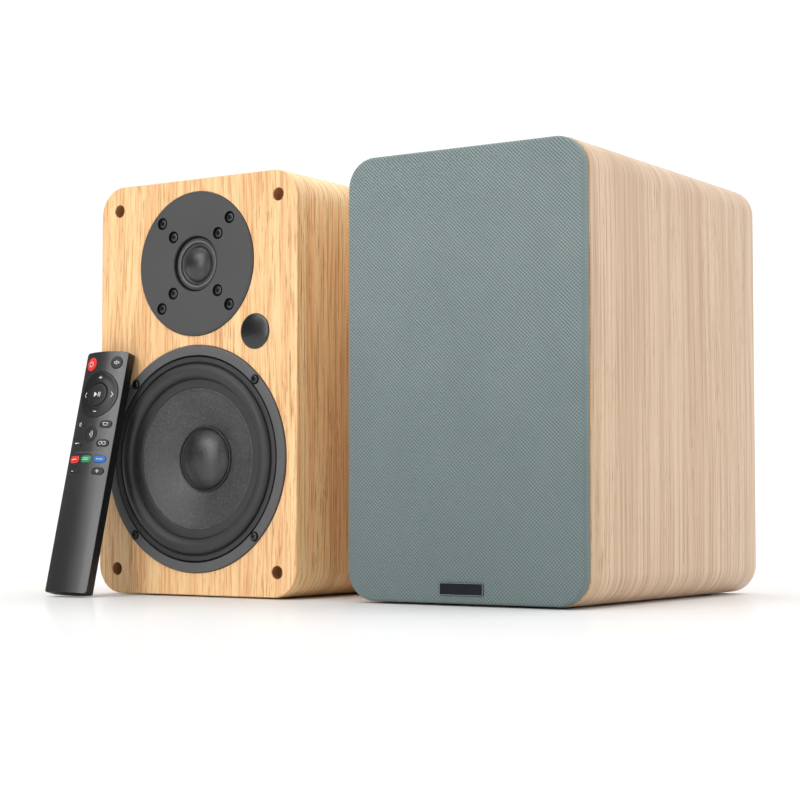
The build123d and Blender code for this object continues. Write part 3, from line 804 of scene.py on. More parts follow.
def back_board(side):
    opening = rect(-57, 57, 38, 172) if side == "left" else rect(-27.5, 27.5, 46.5, 83.5)
    rim = board_outline(WALL + 0.15, EDGE_R - WALL)
    plate(side + "_back_board", [rim, circle(0, PORT_Z, 21.1, 96), opening],
          CAB_BACK - 11.5, CAB_BACK - 0.6, 0.5, "oak_back", PLACE[side], side + "_speaker",
          slot="cabinet_oak")


def rebate(z, radius, depth):
    """Cutter for a round, chamfered rebate in the baffle's face."""
    profile = [(0, -4), (radius + 0.3, -4), (radius + 0.3, 0), (radius, 0.3), (radius, depth),
               (0, depth)]
    return lathe(profile, 0, z, 192)


def baffle(side):
    """The front board, with driver openings and blind sockets for the grille's pegs."""
    holes = [circle(0, WOOFER_Z, 64.6, 128), circle(0, TWEETER_Z, 36.1, 96)]
    holes += [circle(x, z, 4.5, 48) for x, z in PEGS]
    if side == "left":
        holes.append(circle(RECEIVER_X, RECEIVER_Z, 9.3, 48))
    rebates = [rebate(WOOFER_Z, WOOFER_R + 0.3, 2.55), rebate(TWEETER_Z, TWEETER_R + 0.3, 3.0)]
    plate(side + "_baffle_board", [board_outline(0.3, EDGE_R - 0.3, 14)] + holes,
          0.0, BAFFLE_T, 0.55, "oak_front", PLACE[side], side + "_speaker",
          [side + "_front_baffle"], "baffle_oak", angle=30, bevel_steps=3, cuts=rebates)
    socket = rounded([(0, 9.2), (3.4, 9.4, 0.5), (4.46, 8.6, 0.4), (4.46, 1.0), (4.52, 1.0),
                      (4.6, 10.6), (0, 10.6)], 3)
    Piece(*[lathe(socket, x, z, 40) for x, z in PEGS]).fit(side, "grille_sockets", "mdf_socket")


# ------------------------------------------------------------------ woofer
def woofer_frame(side):
    profile = rounded([
        (62.2, 4), (62.2, 1.7), (66.9, 1.7), (66.9, 0.3), (70.4, 0.3), (71.1, 0.3), (71.75, 0.3),
        (71.75, -1.5, 0.2), (WOOFER_R, -1.5, 0.8), (WOOFER_R, 2.4, 0.2), (64, 2.5), (63, 14),
        (50, 33), (50, 37), (41, 44), (16, 44), (16, 42.5), (39.8, 42.5), (46.5, 36.6),
        (48.6, 32.4), (61.6, 13.4),
    ], 4)
    Piece(lathe(profile, 0, WOOFER_Z, 200)).fit(
        side, "woofer_frame", "driver_flange", "woofer_basket", "driver_frame", 38)
    # painted shade: a thin black ring lies in the groove between the frame's step and the surround,
    # its black standing for the groove's shadow
    groove_shade = rounded([(70.3, 0.28), (70.6, -0.05, 0.1), (71.7, -0.05, 0.1), (71.72, 0.28)], 2)
    Piece(lathe(groove_shade, 0, WOOFER_Z, 160)).fit(
        side, "woofer_groove_shade", "shadow_black", slot="driver_frame", angle=38)


def half_roll(r0, r1, y0, y1, bulge, steps=22):
    """A half roll from (r0, y0) to (r1, y1), standing forward by bulge."""
    return [(r0 + (r1 - r0) * (0.5 - 0.5 * math.cos(PI * k / steps)),
             y0 + (y1 - y0) * (k / steps) - bulge * math.sin(PI * (k / steps)) ** 0.82)
            for k in range(steps + 1)]


def bending_ring(side, name, profile, sides, material, angle):
    """A ring round the woofer's axis, made in place with its placing baked into its mesh."""
    place = PLACE[side]
    obj = Piece(lathe(profile, 0, WOOFER_Z, sides)).make(
        f"{side}_{name}", material, place, None, slot=material, angle=angle)
    centre = place([[0, 0, WOOFER_Z]])[0]
    tuple(centre)
    tuple(place([[0, -10, WOOFER_Z]])[0])
    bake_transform(obj)
    return obj


def woofer_surround(side):
    """Outer landing, half roll and inner lip, with the roll's underside."""
    landing = rounded([(70.45, 0.2), (70.45, -1.15, 0.3), (67.3, -1.15, 0.4), (66.5, 0.55, 0.35),
                       (65.9, 0.75)], 4)
    roll = half_roll(65.8, 55.6, 0.7, 1.35, 4.55)
    lip = rounded([(55.5, 1.45), (54.9, 1.0, 0.3), (49.6, 0.95, 0.3), (49.0, 1.7), (55.2, 1.78)], 3)
    under = [(r, y + 0.75) for r, y in reversed(half_roll(65.3, 55.9, 0.7, 1.2, 4.2, 14))]
    profile = landing + roll + lip + under + [(66.7, 1.5), (66.8, 0.28)]
    obj = bending_ring(side, "woofer_surround_roll", profile, 220, "surround_rubber", 42)
    part = "surround" if side == "left" else "suspension"
    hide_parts(f"{side}_woofer_{part}")


def woofer_spider(side):
    """The corrugated web behind the cone; its waves fade at both edges."""
    waves = [(13.3 + 34.0 * k / 60,
              34.0 + 0.75 * math.sin(k / 60 * PI * 10) * min(1, k / 6, (60 - k) / 6))
             for k in range(61)]
    obj = bending_ring(side, "woofer_spider_web", sheet(waves, 0.6), 96, "spider_cloth", 60)
    if side == "left":
        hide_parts("left_woofer_spider")


def bowl(radius, y, depth, fraction, steps):
    """Profile of a round cap; fraction of its sphere's radius sets how much it curves."""
    full = 1 - math.sqrt(1 - fraction ** 2)
    return [(radius * (k / steps),
             y + depth * (1 - math.sqrt(1 - (fraction * (k / steps)) ** 2)) / full)
            for k in range(steps + 1)]


def woofer_cone(side):
    """Cone with a fine moulded ring near its edge, dust cap with its rim, and voice coil."""
    on_cone = dict(part="woofer_diaphragm")
    left = side == "left"
    edge_r, neck_r, edge_y, depth = 47.2, 13.15, 2.3, 13.9
    front = [(53.4, 1.95), (49.4, 1.95), (48.9, 1.6), (48.3, 1.45), (47.8, 1.75), (edge_r, edge_y)]
    for k in range(1, 26):
        t = k / 25
        front.append((edge_r - (edge_r - neck_r) * t, edge_y + depth * (0.78 * t + 0.22 * t * t)))
    Piece(lathe(sheet(front, 0.8), 0, WOOFER_Z, 200)).fit(
        side, "woofer_cone_paper", "cone_paper", "woofer_cone", "paper_cone", 50, **on_cone)

    cap_r = 21.4
    profile = bowl(cap_r, 2.6, depth=8.2, fraction=0.93, steps=24)
    profile += rounded([(cap_r + 0.05, 10.95), (cap_r + 0.45, 11.2, 0.15), (cap_r + 0.7, 10.1, 0.25),
                        (cap_r + 1.3, 10.15, 0.35), (cap_r + 1.65, 12.2)], 3)
    profile += [(cap_r - 1, 12.6), (cap_r - 2.2, 9.6), (12, 5.2), (0, 3.4)]
    Piece(lathe(profile, 0, WOOFER_Z, 160)).fit(
        side, "woofer_dust_dome", "cap_paper", "woofer_dust_cap" if left else None, "dust_cap", 40,
        **on_cone)

    former = [(12.6, 13.5), (13.0, 13.5), (13.0, 50), (12.6, 50)]
    winding = [(13.25 + 0.12 * math.sin(k * PI / 2), 42 + 7.8 * k / 32) for k in range(33)]
    winding = [(12.8, 42)] + winding + [(12.8, 49.8)]
    coil = Piece(lathe(former, 0, WOOFER_Z, 72)).add(lathe(winding, 0, WOOFER_Z, 72), 1)
    coil.fit(side, "voice_coil_winding", ["spider_cloth", "copper"],
             "woofer_voice_coil" if left else None, "copper_coil", 50, **on_cone)


# ------------------------------------------------------------------ tweeter and screws
def four(reach):
    return [(x_sign * reach, z_sign * reach) for x_sign in (-1, 1) for z_sign in (-1, 1)]


WOOFER_BOLTS = four(75.0 * math.cos(math.radians(45)))
TWEETER_BOLTS = four(30.0) + four(19.8)


def tweeter_disc(side):
    """Flat disc with counterbored screw holes and a stepped throat."""
    place = PLACE[side]
    rim = TWEETER_R
    # the profile ends on the point it starts from
    profile = rounded([
        (17.0, 2.9), (17.0, 1.75, 0.1), (17.9, 1.65, 0.15), (18.1, 1.05, 0.12),
        (18.7, 0.95, 0.15), (18.9, 0.3, 0.12), (19.35, 0.2, 0.12), (19.6, -1.0, 0.22),
        (rim - 1.25, -1.0, 0.12), (rim - 1.05, -0.72, 0.1), (rim - 0.75, -0.95, 0.2),
        (rim, -0.6, 0.4), (rim, 2.9), (17.0, 2.9),
    ], 4)
    disc_object = solid(side + "_tweeter_disc", lathe(profile, 0, TWEETER_Z, 200), place)
    bore = [(0, -3), (4.3, -3), (4.3, 0.8), (2.0, 0.8), (2.0, 6), (0, 6)]
    bores = Piece(*[lathe(bore, x, TWEETER_Z + z, 40) for x, z in TWEETER_BOLTS])
    carve(disc_object, place, bores.shape())
    dress(disc_object, ["tweeter_plate", "shadow_black"], side + "_speaker",
          [side + "_tweeter_faceplate"], "driver_frame", 34)
    # painted shade: the bores and the throat's step are coloured black for the shade in these
    # recesses
    middle = place([[0, 0, TWEETER_Z]])[0]
    for polygon in disc_object.data.polygons:
        x, y, z = (np.array(polygon.center) - middle) / MM
        in_bore = min(math.hypot(x - bolt_x, z - bolt_z) for bolt_x, bolt_z in TWEETER_BOLTS) < 4.4
        in_throat = 18.0 < math.hypot(x, z) < 19.45
        polygon.material_index = int((in_bore and y > -0.95) or (in_throat and y > -0.6))


def tweeter_dome(side):
    """The ring in the throat, and the silk dome with its half-roll edge."""
    ring = rounded([(14.85, 2.7), (14.95, 1.45, 0.3), (15.6, 1.0, 0.5), (16.4, 1.05, 0.4),
                    (16.85, 1.6, 0.3), (16.85, 2.7)], 4)
    Piece(lathe(ring, 0, TWEETER_Z, 128)).fit(side, "tweeter_ring", "dome_ring",
                                              slot="driver_frame")
    profile = bowl(12.3, -3.0, depth=4.7, fraction=0.9, steps=20)
    profile += [(12.4, 1.95), (12.55, 2.15)]
    profile += [(12.6 + 2.1 * k / 10, 2.2 - 0.5 * math.sin(PI * k / 10) ** 0.8)
                for k in range(1, 11)]
    profile += [(14.75, 2.3), (14.75, 2.6), (12.5, 2.7), (12.5, 9.4), (12.1, 9.4), (12.1, 2.4),
                (8.5, 0.2), (0, -2.4)]
    Piece(lathe(profile, 0, TWEETER_Z, 128)).fit(
        side, "tweeter_silk_dome", "dome_silk", "tweeter_dome", "dome_silk", 45,
        part="tweeter_diaphragm")


def socket_head(radius, recess, x, seat, z, dome=0.35):
    """A round screw head standing forward of its seat, with a hexagonal recess."""
    height, hex_r, sides = 1.35, 1.2, 48
    top = seat - height - dome * 0.2
    profile = rounded([(radius, seat), (radius, seat - height, height * 0.45),
                       (radius * 0.55, seat - height - dome * 0.15), (hex_r * 1.22, top)], 4)
    turns = [2 * PI * k / sides for k in range(sides)]
    rings = [[(r, y)] * sides for r, y in profile]
    for y in (top, top + recess):
        rings.append([(hex_r * math.cos(PI / 6) / math.cos((turn % (PI / 3)) - PI / 6), y)
                      for turn in turns])
    verts = [(x + r * math.cos(turn), y, z + r * math.sin(turn))
             for ring in rings for (r, y), turn in zip(ring, turns)]
    faces = []
    for i in range(len(rings) - 1):
        a, b = i * sides, (i + 1) * sides
        faces += [(a + k, b + k, b + (k + 1) % sides, a + (k + 1) % sides) for k in range(sides)]
    last = (len(rings) - 1) * sides
    faces += [tuple(range(last, last + sides)), tuple(range(sides))[::-1]]
    return verts, faces


def screws(side):
    """Heads round the woofer ringed in black, heads in the tweeter, cross heads on the back panel;
    the black rings and crosses are painted shade.
    """
    piece = Piece()
    shank = [(0, -1.7), (1.6, -1.7), (1.6, 12), (0, 12)]
    # painted shade: a thin black ring round each head stands for the shade of its counterbore
    shade_ring = rounded([(2.4, -1.45), (2.4, -1.6), (3.35, -1.68, 0.1), (3.5, -1.45)], 3)
    for x, z in WOOFER_BOLTS:
        piece.add(socket_head(2.6, 1.0, x, -1.5, WOOFER_Z + z))
        piece.add(lathe(shank, x, WOOFER_Z + z, 16))
        piece.add(lathe(shade_ring, x, WOOFER_Z + z, 48), 1)
    for x, z in TWEETER_BOLTS:
        piece.add(socket_head(2.9, 0.9, x, 0.78, TWEETER_Z + z, dome=0.5))
    if side == "left":
        head = rounded([(0, 252.9), (3.2, 253.0), (3.2, 253.9, 0.5), (1.8, 254.5, 0.4),
                        (0, 254.5)], 4)
        for x, z in [(x, z) for x in (-59, 59) for z in (36, 174)]:
            piece.add(lathe(head, x, z, 36))
            # painted shade: each cross recess is a flat black cross on the head
            for wide, high in ((1.5, 0.32), (0.32, 1.5)):
                piece.add(box(x - wide, x + wide, 254.45, 254.56, z - high, z + high), 1)
    piece.fit(side, "screw_heads", ["black_screw", "shadow_black"], "screws", "screw_black", 30)


# ------------------------------------------------------------------ port and feet
def port(side):
    """Tube with a flared mouth at the back."""
    profile = rounded([(19, 165), (21, 165), (21, 249.6), (29, 249.6), (29, 249.8),
                       (29, 251.6, 0.8), (27.6, 252.6, 0.8), (25.4, 252.9)], 3)
    for k in range(1, 13):
        turn = k / 12 * PI / 2
        profile.append((25.0 - 6.0 * math.sin(turn), 252.8 - 9.0 * (1 - math.cos(turn))))
    Piece(lathe(profile, 0, PORT_Z, 128)).fit(side, "port_flare", "port_plastic", "port_tube",
                                             "port_plastic", 40)


def feet(side):
    pad, faces = lathe(rounded([(0, 0), (8.0, 0.0, 0.25), (8.0, 1.0, 0.05), (0, 1.0)], 3), 0, 0, 48)
    piece = Piece()
    for foot_x in (-55, 55):
        for foot_y in (30, 225):
            piece.add(([(foot_x + x, foot_y + z, y) for x, y, z in pad], faces))
    piece.fit(side, "foot_pads", "pad_rubber", "feet", "pad_rubber")


SPEAKER_PARTS = (cabinet, back_board, baffle, woofer_frame, woofer_surround, woofer_spider,
                 woofer_cone, tweeter_disc, tweeter_dome, screws, port, feet)
for side in PLACE:
    for build_part in SPEAKER_PARTS:
        build_part(side)


# ------------------------------------------------------------------ receiver window
def receiver_window():
    profile = [(11.2 * k / 10, -2.2 + 1.2 * (k / 10) ** 2) for k in range(11)]
    profile += [(11.9, -0.75, 0.4), (12.25, -0.1, 0.3), (12.2, 0.0), (9.0, 0.0), (9.0, 10), (0, 10)]
    Piece(lathe(rounded(profile, 4), RECEIVER_X, RECEIVER_Z, 96)).make(
        "receiver_lens", "receiver_plastic", LEFT, "left_speaker", ["left_receiver_window"],
        "receiver_window", 35)


receiver_window()

# ------------------------------------------------------------------ back of the powered speaker
ROW_Z, LOW_Z = 118.0, 62.0  # upper row of sockets, lower row
KNOB_Z = 160.0
KNOBS = {"volume": 38, "treble": 0, "bass": -38}
PANEL_Y0, PANEL_Y1 = 250.0, 253.0
MAINS_X = -38
PLUG_X = 38  # middle of the lower pair of round sockets
PLUG_REACH = 9.525  # from the pair's middle to each socket
# (x0, x1, middle z, half height, corner radius) of the fittings that pass through the panel
FITTINGS = [
    (24, 52, ROW_Z, 7, 1), (5, 15, ROW_Z, 5, 1), (-18, -6, ROW_Z, 6, 0.6), (-47, -29, ROW_Z, 5, 0.6),
    (20, 56, LOW_Z, 8, 1), (-7.5, 7.5, LOW_Z, 12, 1), (-50, -26, LOW_Z, 8, 1),
]


def amplifier_panel():
    gap = 0.3
    holes = [circle(x, KNOB_Z, 3.6, 40) for x in sorted(KNOBS.values())]
    holes += [rect(x0 - gap, x1 + gap, z - half - gap, z + half + gap, radius)
              for x0, x1, z, half, radius in FITTINGS]
    plate("amplifier_panel", [rect(-65, 65, 30, 180, 5, 8)] + holes, PANEL_Y0, PANEL_Y1, 0.45,
          "powder_coat", LEFT, "left_speaker", ["left_amplifier_plate"], "plate_black")


def knob(name, x):
    """A knob with 24 flutes round its side and a printed pointer."""
    profile = rounded([
        (0, 240.2), (3.0, 240.2), (3.0, 255.0), (7.5, 255.0, 0.2), (7.9, 255.6, 0.2),
        (7.9, 265.4, 0.1), (7.6, 266.2, 0.5), (6.6, 267.3, 0.6), (5.6, 267.05, 0.4), (0, 267.0),
    ], 4)
    verts, faces = lathe(profile, 0, 0, 144)
    verts = np.array(verts)
    radius = np.hypot(verts[:, 0], verts[:, 2])
    turn = np.arctan2(verts[:, 2], verts[:, 0])
    fluted = (verts[:, 1] > 255.5) & (verts[:, 1] < 266.0) & (radius > 7)
    scale = np.where(fluted, 1 - 0.045 * (0.5 + 0.5 * np.cos(turn * 24)), 1.0)
    verts[:, 0] *= scale
    verts[:, 2] *= scale
    pointer = box(x - 0.45, x + 0.45, 266.6, 267.35, KNOB_Z + 1.8, KNOB_Z + 6.4, 0.12)
    Piece((verts + [x, 0, KNOB_Z], faces)).add(pointer, 1).make(
        name + "_dial", ["knob_plastic", "white_ink"], LEFT, name + "_control", [name + "_knob"],
        "knob_black", 30)


def panel_marks():
    """Tick marks round each knob and a printed line under each socket group."""
    piece = Piece()
    faces = [(0, 1, 2, 3), (7, 6, 5, 4), (0, 4, 5, 1), (1, 5, 6, 2), (2, 6, 7, 3), (3, 7, 4, 0)]
    inner, half = 10.4, 0.22
    for x in sorted(KNOBS.values()):
        for k in range(11):
            turn = math.radians(-60 + 30 * k)
            cos, sin = math.cos(turn), math.sin(turn)
            outer = 12.4 if k % 5 == 0 else 11.7
            flat = [(inner, -half), (outer, -half), (outer, half), (inner, half)]
            piece.add(([(x + p * cos - q * sin, y, KNOB_Z + p * sin + q * cos)
                        for y in (253.02, 253.06) for p, q in flat], faces))
    # (x0, x1, z0) of the lines
    for x0, x1, z0 in ((22, 54, 106.5), (3, 17, 106.5), (-20, -4, 106.5), (-49, -27, 106.5),
                       (18, 58, 48.0), (-52, -24, 48.0)):
        piece.add(box(x0, x1, PANEL_Y1, PANEL_Y1 + 0.05, z0, z0 + 0.4))
    piece.make("panel_marks", "grey_ink", LEFT, "left_speaker", slot="plate_black")


def add_plug_pair(piece, x, z, collar_indices, sleeve_index):
    """Two round sockets side by side: a collar and a sleeve each."""
    collar = rounded([(2.05, 255.5), (2.05, 260, 0.3), (5.5, 260, 0.6), (5.5, 255.5)], 3)
    sleeve = [(1.95, 246), (2.05, 246), (2.05, 259.6), (1.95, 259.6)]
    for plug_x, index in zip((x - PLUG_REACH, x + PLUG_REACH), collar_indices):
        piece.add(lathe(collar, plug_x, z, 56), index)
        piece.add(lathe(sleeve, plug_x, z, 32), sleeve_index)


def audio_sockets():
    body, nickel, red, white, black, gold = range(6)
    piece = Piece()
    piece.add(box(24, 52, 237, 254, ROW_Z - 7, ROW_Z + 7, 0.6))
    piece.add(box(5, 15, 237, 254, ROW_Z - 5, ROW_Z + 5, 0.5))
    piece.add(box(20, 56, 237, 256, LOW_Z - 8, LOW_Z + 8, 0.6))
    # upper pair: a metal shell, a coloured liner and a coloured foot ring each
    shell = rounded([(1.7, 253.5), (1.7, 261.6), (2.9, 261.6), (2.9, 261.9), (3.0, 261.9),
                     (4.15, 261.9, 0.25), (4.15, 253.6)], 3)
    liner = [(1.6, 254.0), (1.6, 261.7), (3.0, 261.7), (3.0, 254.0)]
    foot = rounded([(4.2, 253.9), (5.6, 253.9), (5.6, 254.7, 0.3), (4.2, 254.7)], 3)
    for x, index in ((31.0, white), (45.0, red)):
        piece.add(lathe(shell, x, ROW_Z, 56), nickel)
        piece.add(lathe(liner, x, ROW_Z, 48), index)
        piece.add(lathe(foot, x, ROW_Z, 48), index)
    # small round socket: hexagonal nut, collar, and a black disc at its mouth that is painted shade
    # for the hole
    nut = rounded([(2.6, 253.9), (2.6, 255.5), (4.0, 255.5, 0.4), (4.0, 253.9)], 3)
    collar = rounded([(1.8, 254), (1.8, 256.0, 0.2), (3.3, 256.0, 0.3), (3.3, 254)], 3)
    hole = [(0, 253.95), (1.8, 253.98), (1.8, 254.02), (0, 254.02)]
    piece.add(lathe(nut, 10, ROW_Z, 6), nickel)
    piece.add(lathe(collar, 10, ROW_Z, 48), nickel)
    piece.add(lathe(hole, 10, ROW_Z, 24), black)
    add_plug_pair(piece, PLUG_X, LOW_Z, (black, red), nickel)
    # optical and digital sockets: (x0, x1, half height, outer y, side wall, top wall)
    for x0, x1, half, y1, wall, top_wall in ((-18, -6, 6, 256, 2.0, 2.0),
                                             (-47, -29, 5, 255, 1.8, 2.4)):
        z0, z1 = ROW_Z - half, ROW_Z + half
        piece.add(box(x0, x1, 244, y1, z0, z0 + top_wall, 0.3))
        piece.add(box(x0, x1, 244, y1, z1 - top_wall, z1, 0.3))
        piece.add(box(x0, x0 + wall, 244, y1, z0 + 0.3, z1 - 0.3, 0.3))
        piece.add(box(x1 - wall, x1, 244, y1, z0 + 0.3, z1 - 0.3, 0.3))
        piece.add(box(x0 + 0.3, x1 - 0.3, 243, 245, z0 + 0.3, z1 - 0.3))
    piece.add(box(-15.8, -8.2, 251.6, 252.4, ROW_Z - 3.9, ROW_Z + 3.9, 0.2), black)
    piece.add(box(-43.6, -32.4, 244, 252, ROW_Z - 0.5, ROW_Z + 0.5, 0.1), gold)
    piece.make("socket_group", ["socket_plastic", "nickel", "red_plastic", "white_plastic",
                                "shadow_black", "plated_contact"],
               LEFT, "left_speaker", ["left_audio_sockets"], "socket_plastic", 30)


def add_window(piece, x, half_x, open_x, y0, y1, half_z, open_z, side_z, bevel=0.0):
    """A rectangular frame round (x, LOW_Z) from four boxes; side_z is its uprights' half height."""
    z = LOW_Z
    piece.add(box(x - half_x, x + half_x, y0, y1, z + open_z, z + half_z, bevel))
    piece.add(box(x - half_x, x + half_x, y0, y1, z - half_z, z - open_z, bevel))
    piece.add(box(x - half_x, x - open_x, y0, y1, z - side_z, z + side_z, bevel))
    piece.add(box(x + open_x, x + half_x, y0, y1, z - side_z, z + side_z, bevel))


def mains_fittings():
    """Two-pin inlet and the rocker's housing: each a flange, a well and the well's floor."""
    piece = Piece()
    add_window(piece, MAINS_X, 15, 8.6, 252.8, 255, half_z=10, open_z=4.6, side_z=5, bevel=0.35)
    add_window(piece, MAINS_X, 12, 8.4, 238, 254.4, half_z=8, open_z=4.4, side_z=5)
    piece.add(box(-49, -27, 238, 242, LOW_Z - 7, LOW_Z + 7))
    pin = rounded([(0, 241), (1.2, 241), (1.2, 251.6, 0.5), (0, 252.0)], 4)
    for x in (MAINS_X - 4.3, MAINS_X + 4.3):
        piece.add(lathe(pin, x, LOW_Z, 24), 1)
    add_window(piece, 0, 9.5, 5.4, 252.8, 255, half_z=14, open_z=9.9, side_z=10.2, bevel=0.4)
    add_window(piece, 0, 7.5, 5.4, 238, 254, half_z=12, open_z=9.9, side_z=10)
    piece.add(box(-7, 7, 238, 243, LOW_Z - 11, LOW_Z + 11))
    piece.make("mains_group", ["socket_plastic", "nickel"], LEFT, "left_speaker",
               ["left_mains_fittings"], "socket_plastic", 30)


ROCKER_HALF, ROCKER_ROWS = 7.9, 14
ROCKER_TILT = math.radians(8.0)


def saddle(z):
    """Height of the rocker's hollow top over its pivot."""
    return 6.0 - 1.35 * (1 - (z / ROCKER_HALF) ** 2)


def rocked(points):
    x, y, z = np.array(points, float).T
    cos, sin = math.cos(ROCKER_TILT), math.sin(ROCKER_TILT)
    return np.stack([x, 250.0 + y * cos - z * sin, LOW_Z + y * sin + z * cos], 1)


def rocker():
    """Saddle-shaped cap, tilted to its rest position, with a bar and a ring printed on it."""
    rows = [-ROCKER_HALF + 2 * ROCKER_HALF * k / ROCKER_ROWS for k in range(ROCKER_ROWS + 1)]
    top = []
    for k, z in enumerate(rows):
        for x in (-4.9, -4.6, 4.6, 4.9):
            on_edge = k in (0, ROCKER_ROWS) or abs(x) > 4.8
            top.append((x, saddle(z) - (0.35 if on_edge else 0.0), z))
    low = [(x, -2.9, z) for z in rows for x in (-4.9, 4.9)]
    count = len(top)
    faces = []
    for k in range(ROCKER_ROWS):
        for a in range(k * 4, k * 4 + 3):
            faces.append((a, a + 1, a + 5, a + 4))
    for k in range(ROCKER_ROWS):
        a, b = k * 4, count + k * 2
        faces += [(a, a + 4, b + 2, b), (a + 3, b + 1, b + 3, a + 7), (b, b + 2, b + 3, b + 1)]
    faces.append((0, count, count + 1, 3, 2, 1))
    a, b = ROCKER_ROWS * 4, count + ROCKER_ROWS * 2
    faces.append((a, a + 1, a + 2, a + 3, b + 1, b))
    piece = Piece((rocked(top + low), faces))
    mark_z = 4.6
    bar = box(-0.28, 0.28, -0.2, 0.06, mark_z - 1.4, mark_z + 1.4)
    ring = lathe([(1.1, -0.2), (1.55, -0.2), (1.55, 0.06), (1.1, 0.06)], 0, -mark_z, 32)
    for verts, faces in (bar, ring):
        piece.add((rocked([(x, y + saddle(z), z) for x, y, z in verts]), faces), 1)
    piece.make("rocker_cap", ["socket_plastic", "white_ink"], LEFT, "power_switch",
               ["power_rocker"], "rocker_black", 40)


amplifier_panel()
for name, x in KNOBS.items():
    knob(name, x)
panel_marks()
audio_sockets()
mains_fittings()
rocker()


# ------------------------------------------------------------------ back of the passive speaker
def link_sockets():
    """Panel with a block that holds one pair of round sockets, and four screws."""
    plate("link_panel", [rect(-35, 35, 40, 90, 4, 8), rect(-20.2, 20.2, 54.8, 75.2, 1)],
          PANEL_Y0, 252.5, 0.4, "powder_coat", RIGHT, "right_speaker", slot="plate_black")
    _, black, red, nickel, screw = range(5)
    piece = Piece(box(-20, 20, 236, 256, 55, 75, 0.8))
    add_plug_pair(piece, 0, 65, (black, red), nickel)
    head = rounded([(0, 252.4), (2.6, 252.5), (2.6, 253.2, 0.4), (1.4, 253.7, 0.3), (0, 253.7)], 4)
    for x in (-30, 30):
        for z in (45, 85):
            piece.add(lathe(head, x, z, 32), screw)
    piece.make("link_block", ["socket_plastic", "shadow_black", "red_plastic", "nickel",
                              "black_screw"],
               RIGHT, "right_speaker", ["right_link_cup"], "socket_plastic", 30)


link_sockets()

# ------------------------------------------------------------------ grille
cloth_low, cloth_high = corners("grille_cloth")
right_baffle_y = corners("right_front_baffle")[0][1]
GRILLE_W, GRILLE_H = cloth_high[0] - cloth_low[0], cloth_high[2] - cloth_low[2]
GRILLE_FRONT, GRILLE_BACK = cloth_low[1] - right_baffle_y, cloth_high[1] - right_baffle_y
GRILLE_R = EDGE_R - 0.5


def grille_cloth():
    """Cloth skin with a soft front edge, and its lining inside."""
    def ring(inset, y, radius=None):
        radius = GRILLE_R - inset if radius is None else radius
        return GRILLE_W - 2 * inset, GRILLE_H - 2 * inset, radius, y

    front, back, edge = GRILLE_FRONT, GRILLE_BACK, 2.3
    rings = [ring(30, front + 0.7, 8), ring(0.85, front + 0.8), ring(0.85, back - 0.1),
             ring(0.8, back - 0.1), ring(0.25, back), ring(0.05, back - 0.35),
             ring(0, back - 0.9), ring(0, front + 2.4)]
    for k in range(1, 9):
        turn = k / 8 * PI / 2
        rings.append(ring(edge * (1 - math.cos(turn)), front + edge - edge * math.sin(turn) + 0.02))
    rings += [ring(7, front, GRILLE_R - 5), ring(30, front, 8)]
    piece = Piece(bar_along_y(rings, (cloth_high[2] + cloth_low[2]) / 2))
    # the lining is the first two bands and the first end cap
    band = (len(piece.faces) - 2) // (len(rings) - 1)
    piece.index[:2 * band] = [1] * (2 * band)
    piece.index[-2] = 1
    piece.make("grille_weave_skin", ["grille_weave", "cloth_back"], RIGHT, "grille",
               ["grille_cloth"], "grille_cloth", 50)


def open_circle(radius, z, start, steps):
    """Clockwise arc of a circle that stays open, 68 mm wide, about the direction start."""
    gap = math.asin(34 / radius)
    turns = [start - gap - (2 * PI - 2 * gap) * k / steps for k in range(steps + 1)]
    return [(radius * math.cos(turn), z + radius * math.sin(turn)) for turn in turns]


def grille_frame():
    """Board with the two driver openings and the neck between them as one hole, and its pegs."""
    opening = open_circle(81, WOOFER_Z, PI / 2, 96) + open_circle(53, TWEETER_Z, -PI / 2, 64)
    inset = 0.95
    rim = rect(-GRILLE_W / 2 + inset, GRILLE_W / 2 - inset, cloth_low[2] + inset,
               cloth_high[2] - inset, GRILLE_R - 1.2, 12)
    plate("grille_board", [rim, opening], GRILLE_FRONT + 0.85, GRILLE_BACK, 0.4, "frame_plastic",
          RIGHT, "grille", ["grille_frame"], "grille_frame")
    back = GRILLE_BACK
    peg = rounded([(0, back - 0.2), (5.2, back - 0.2), (5.2, back), (4.42, back + 0.1),
                   (4.42, 7.0, 0.4), (3.2, 8.0, 0.3), (0, 8.0)], 3)
    Piece(*[lathe(peg, x, z, 40) for x, z in PEGS]).make(
        "grille_pegs", "frame_plastic", RIGHT, "grille", slot="grille_frame")


def badge():
    """Small plate on the cloth with a bright border line."""
    low, high = corners("grille_badge")
    half = (high[0] - low[0]) / 2
    middle, half_z = (low[2] + high[2]) / 2, (high[2] - low[2]) / 2
    front, back = low[1] - right_baffle_y, high[1] - right_baffle_y

    def rim(inset):
        return rect(-half + inset, half - inset, middle - half_z + inset, middle + half_z - inset,
                    0.8 - inset)

    plate("badge_plate", [rim(0)], front + 0.05, back + 0.1, 0.18, "badge_plate", RIGHT, "grille",
          ["grille_badge"], "badge_plate")
    plate("badge_border", [rim(0.3), rim(0.6)], front, front + 0.3, 0.05, "badge_edge", RIGHT,
          "grille", slot="badge_plate")


grille_cloth()
grille_frame()
badge()

# ------------------------------------------------------------------ remote: case
CROWN_R = (REMOTE_HALF * REMOTE_HALF + CROWN * CROWN) / (2 * CROWN)
SEAM = 2.5


def crown(x):
    """Height of the crowned face over its edge plane, on a circle through both edges."""
    return math.sqrt(CROWN_R * CROWN_R - x * x) - (CROWN_R - CROWN)


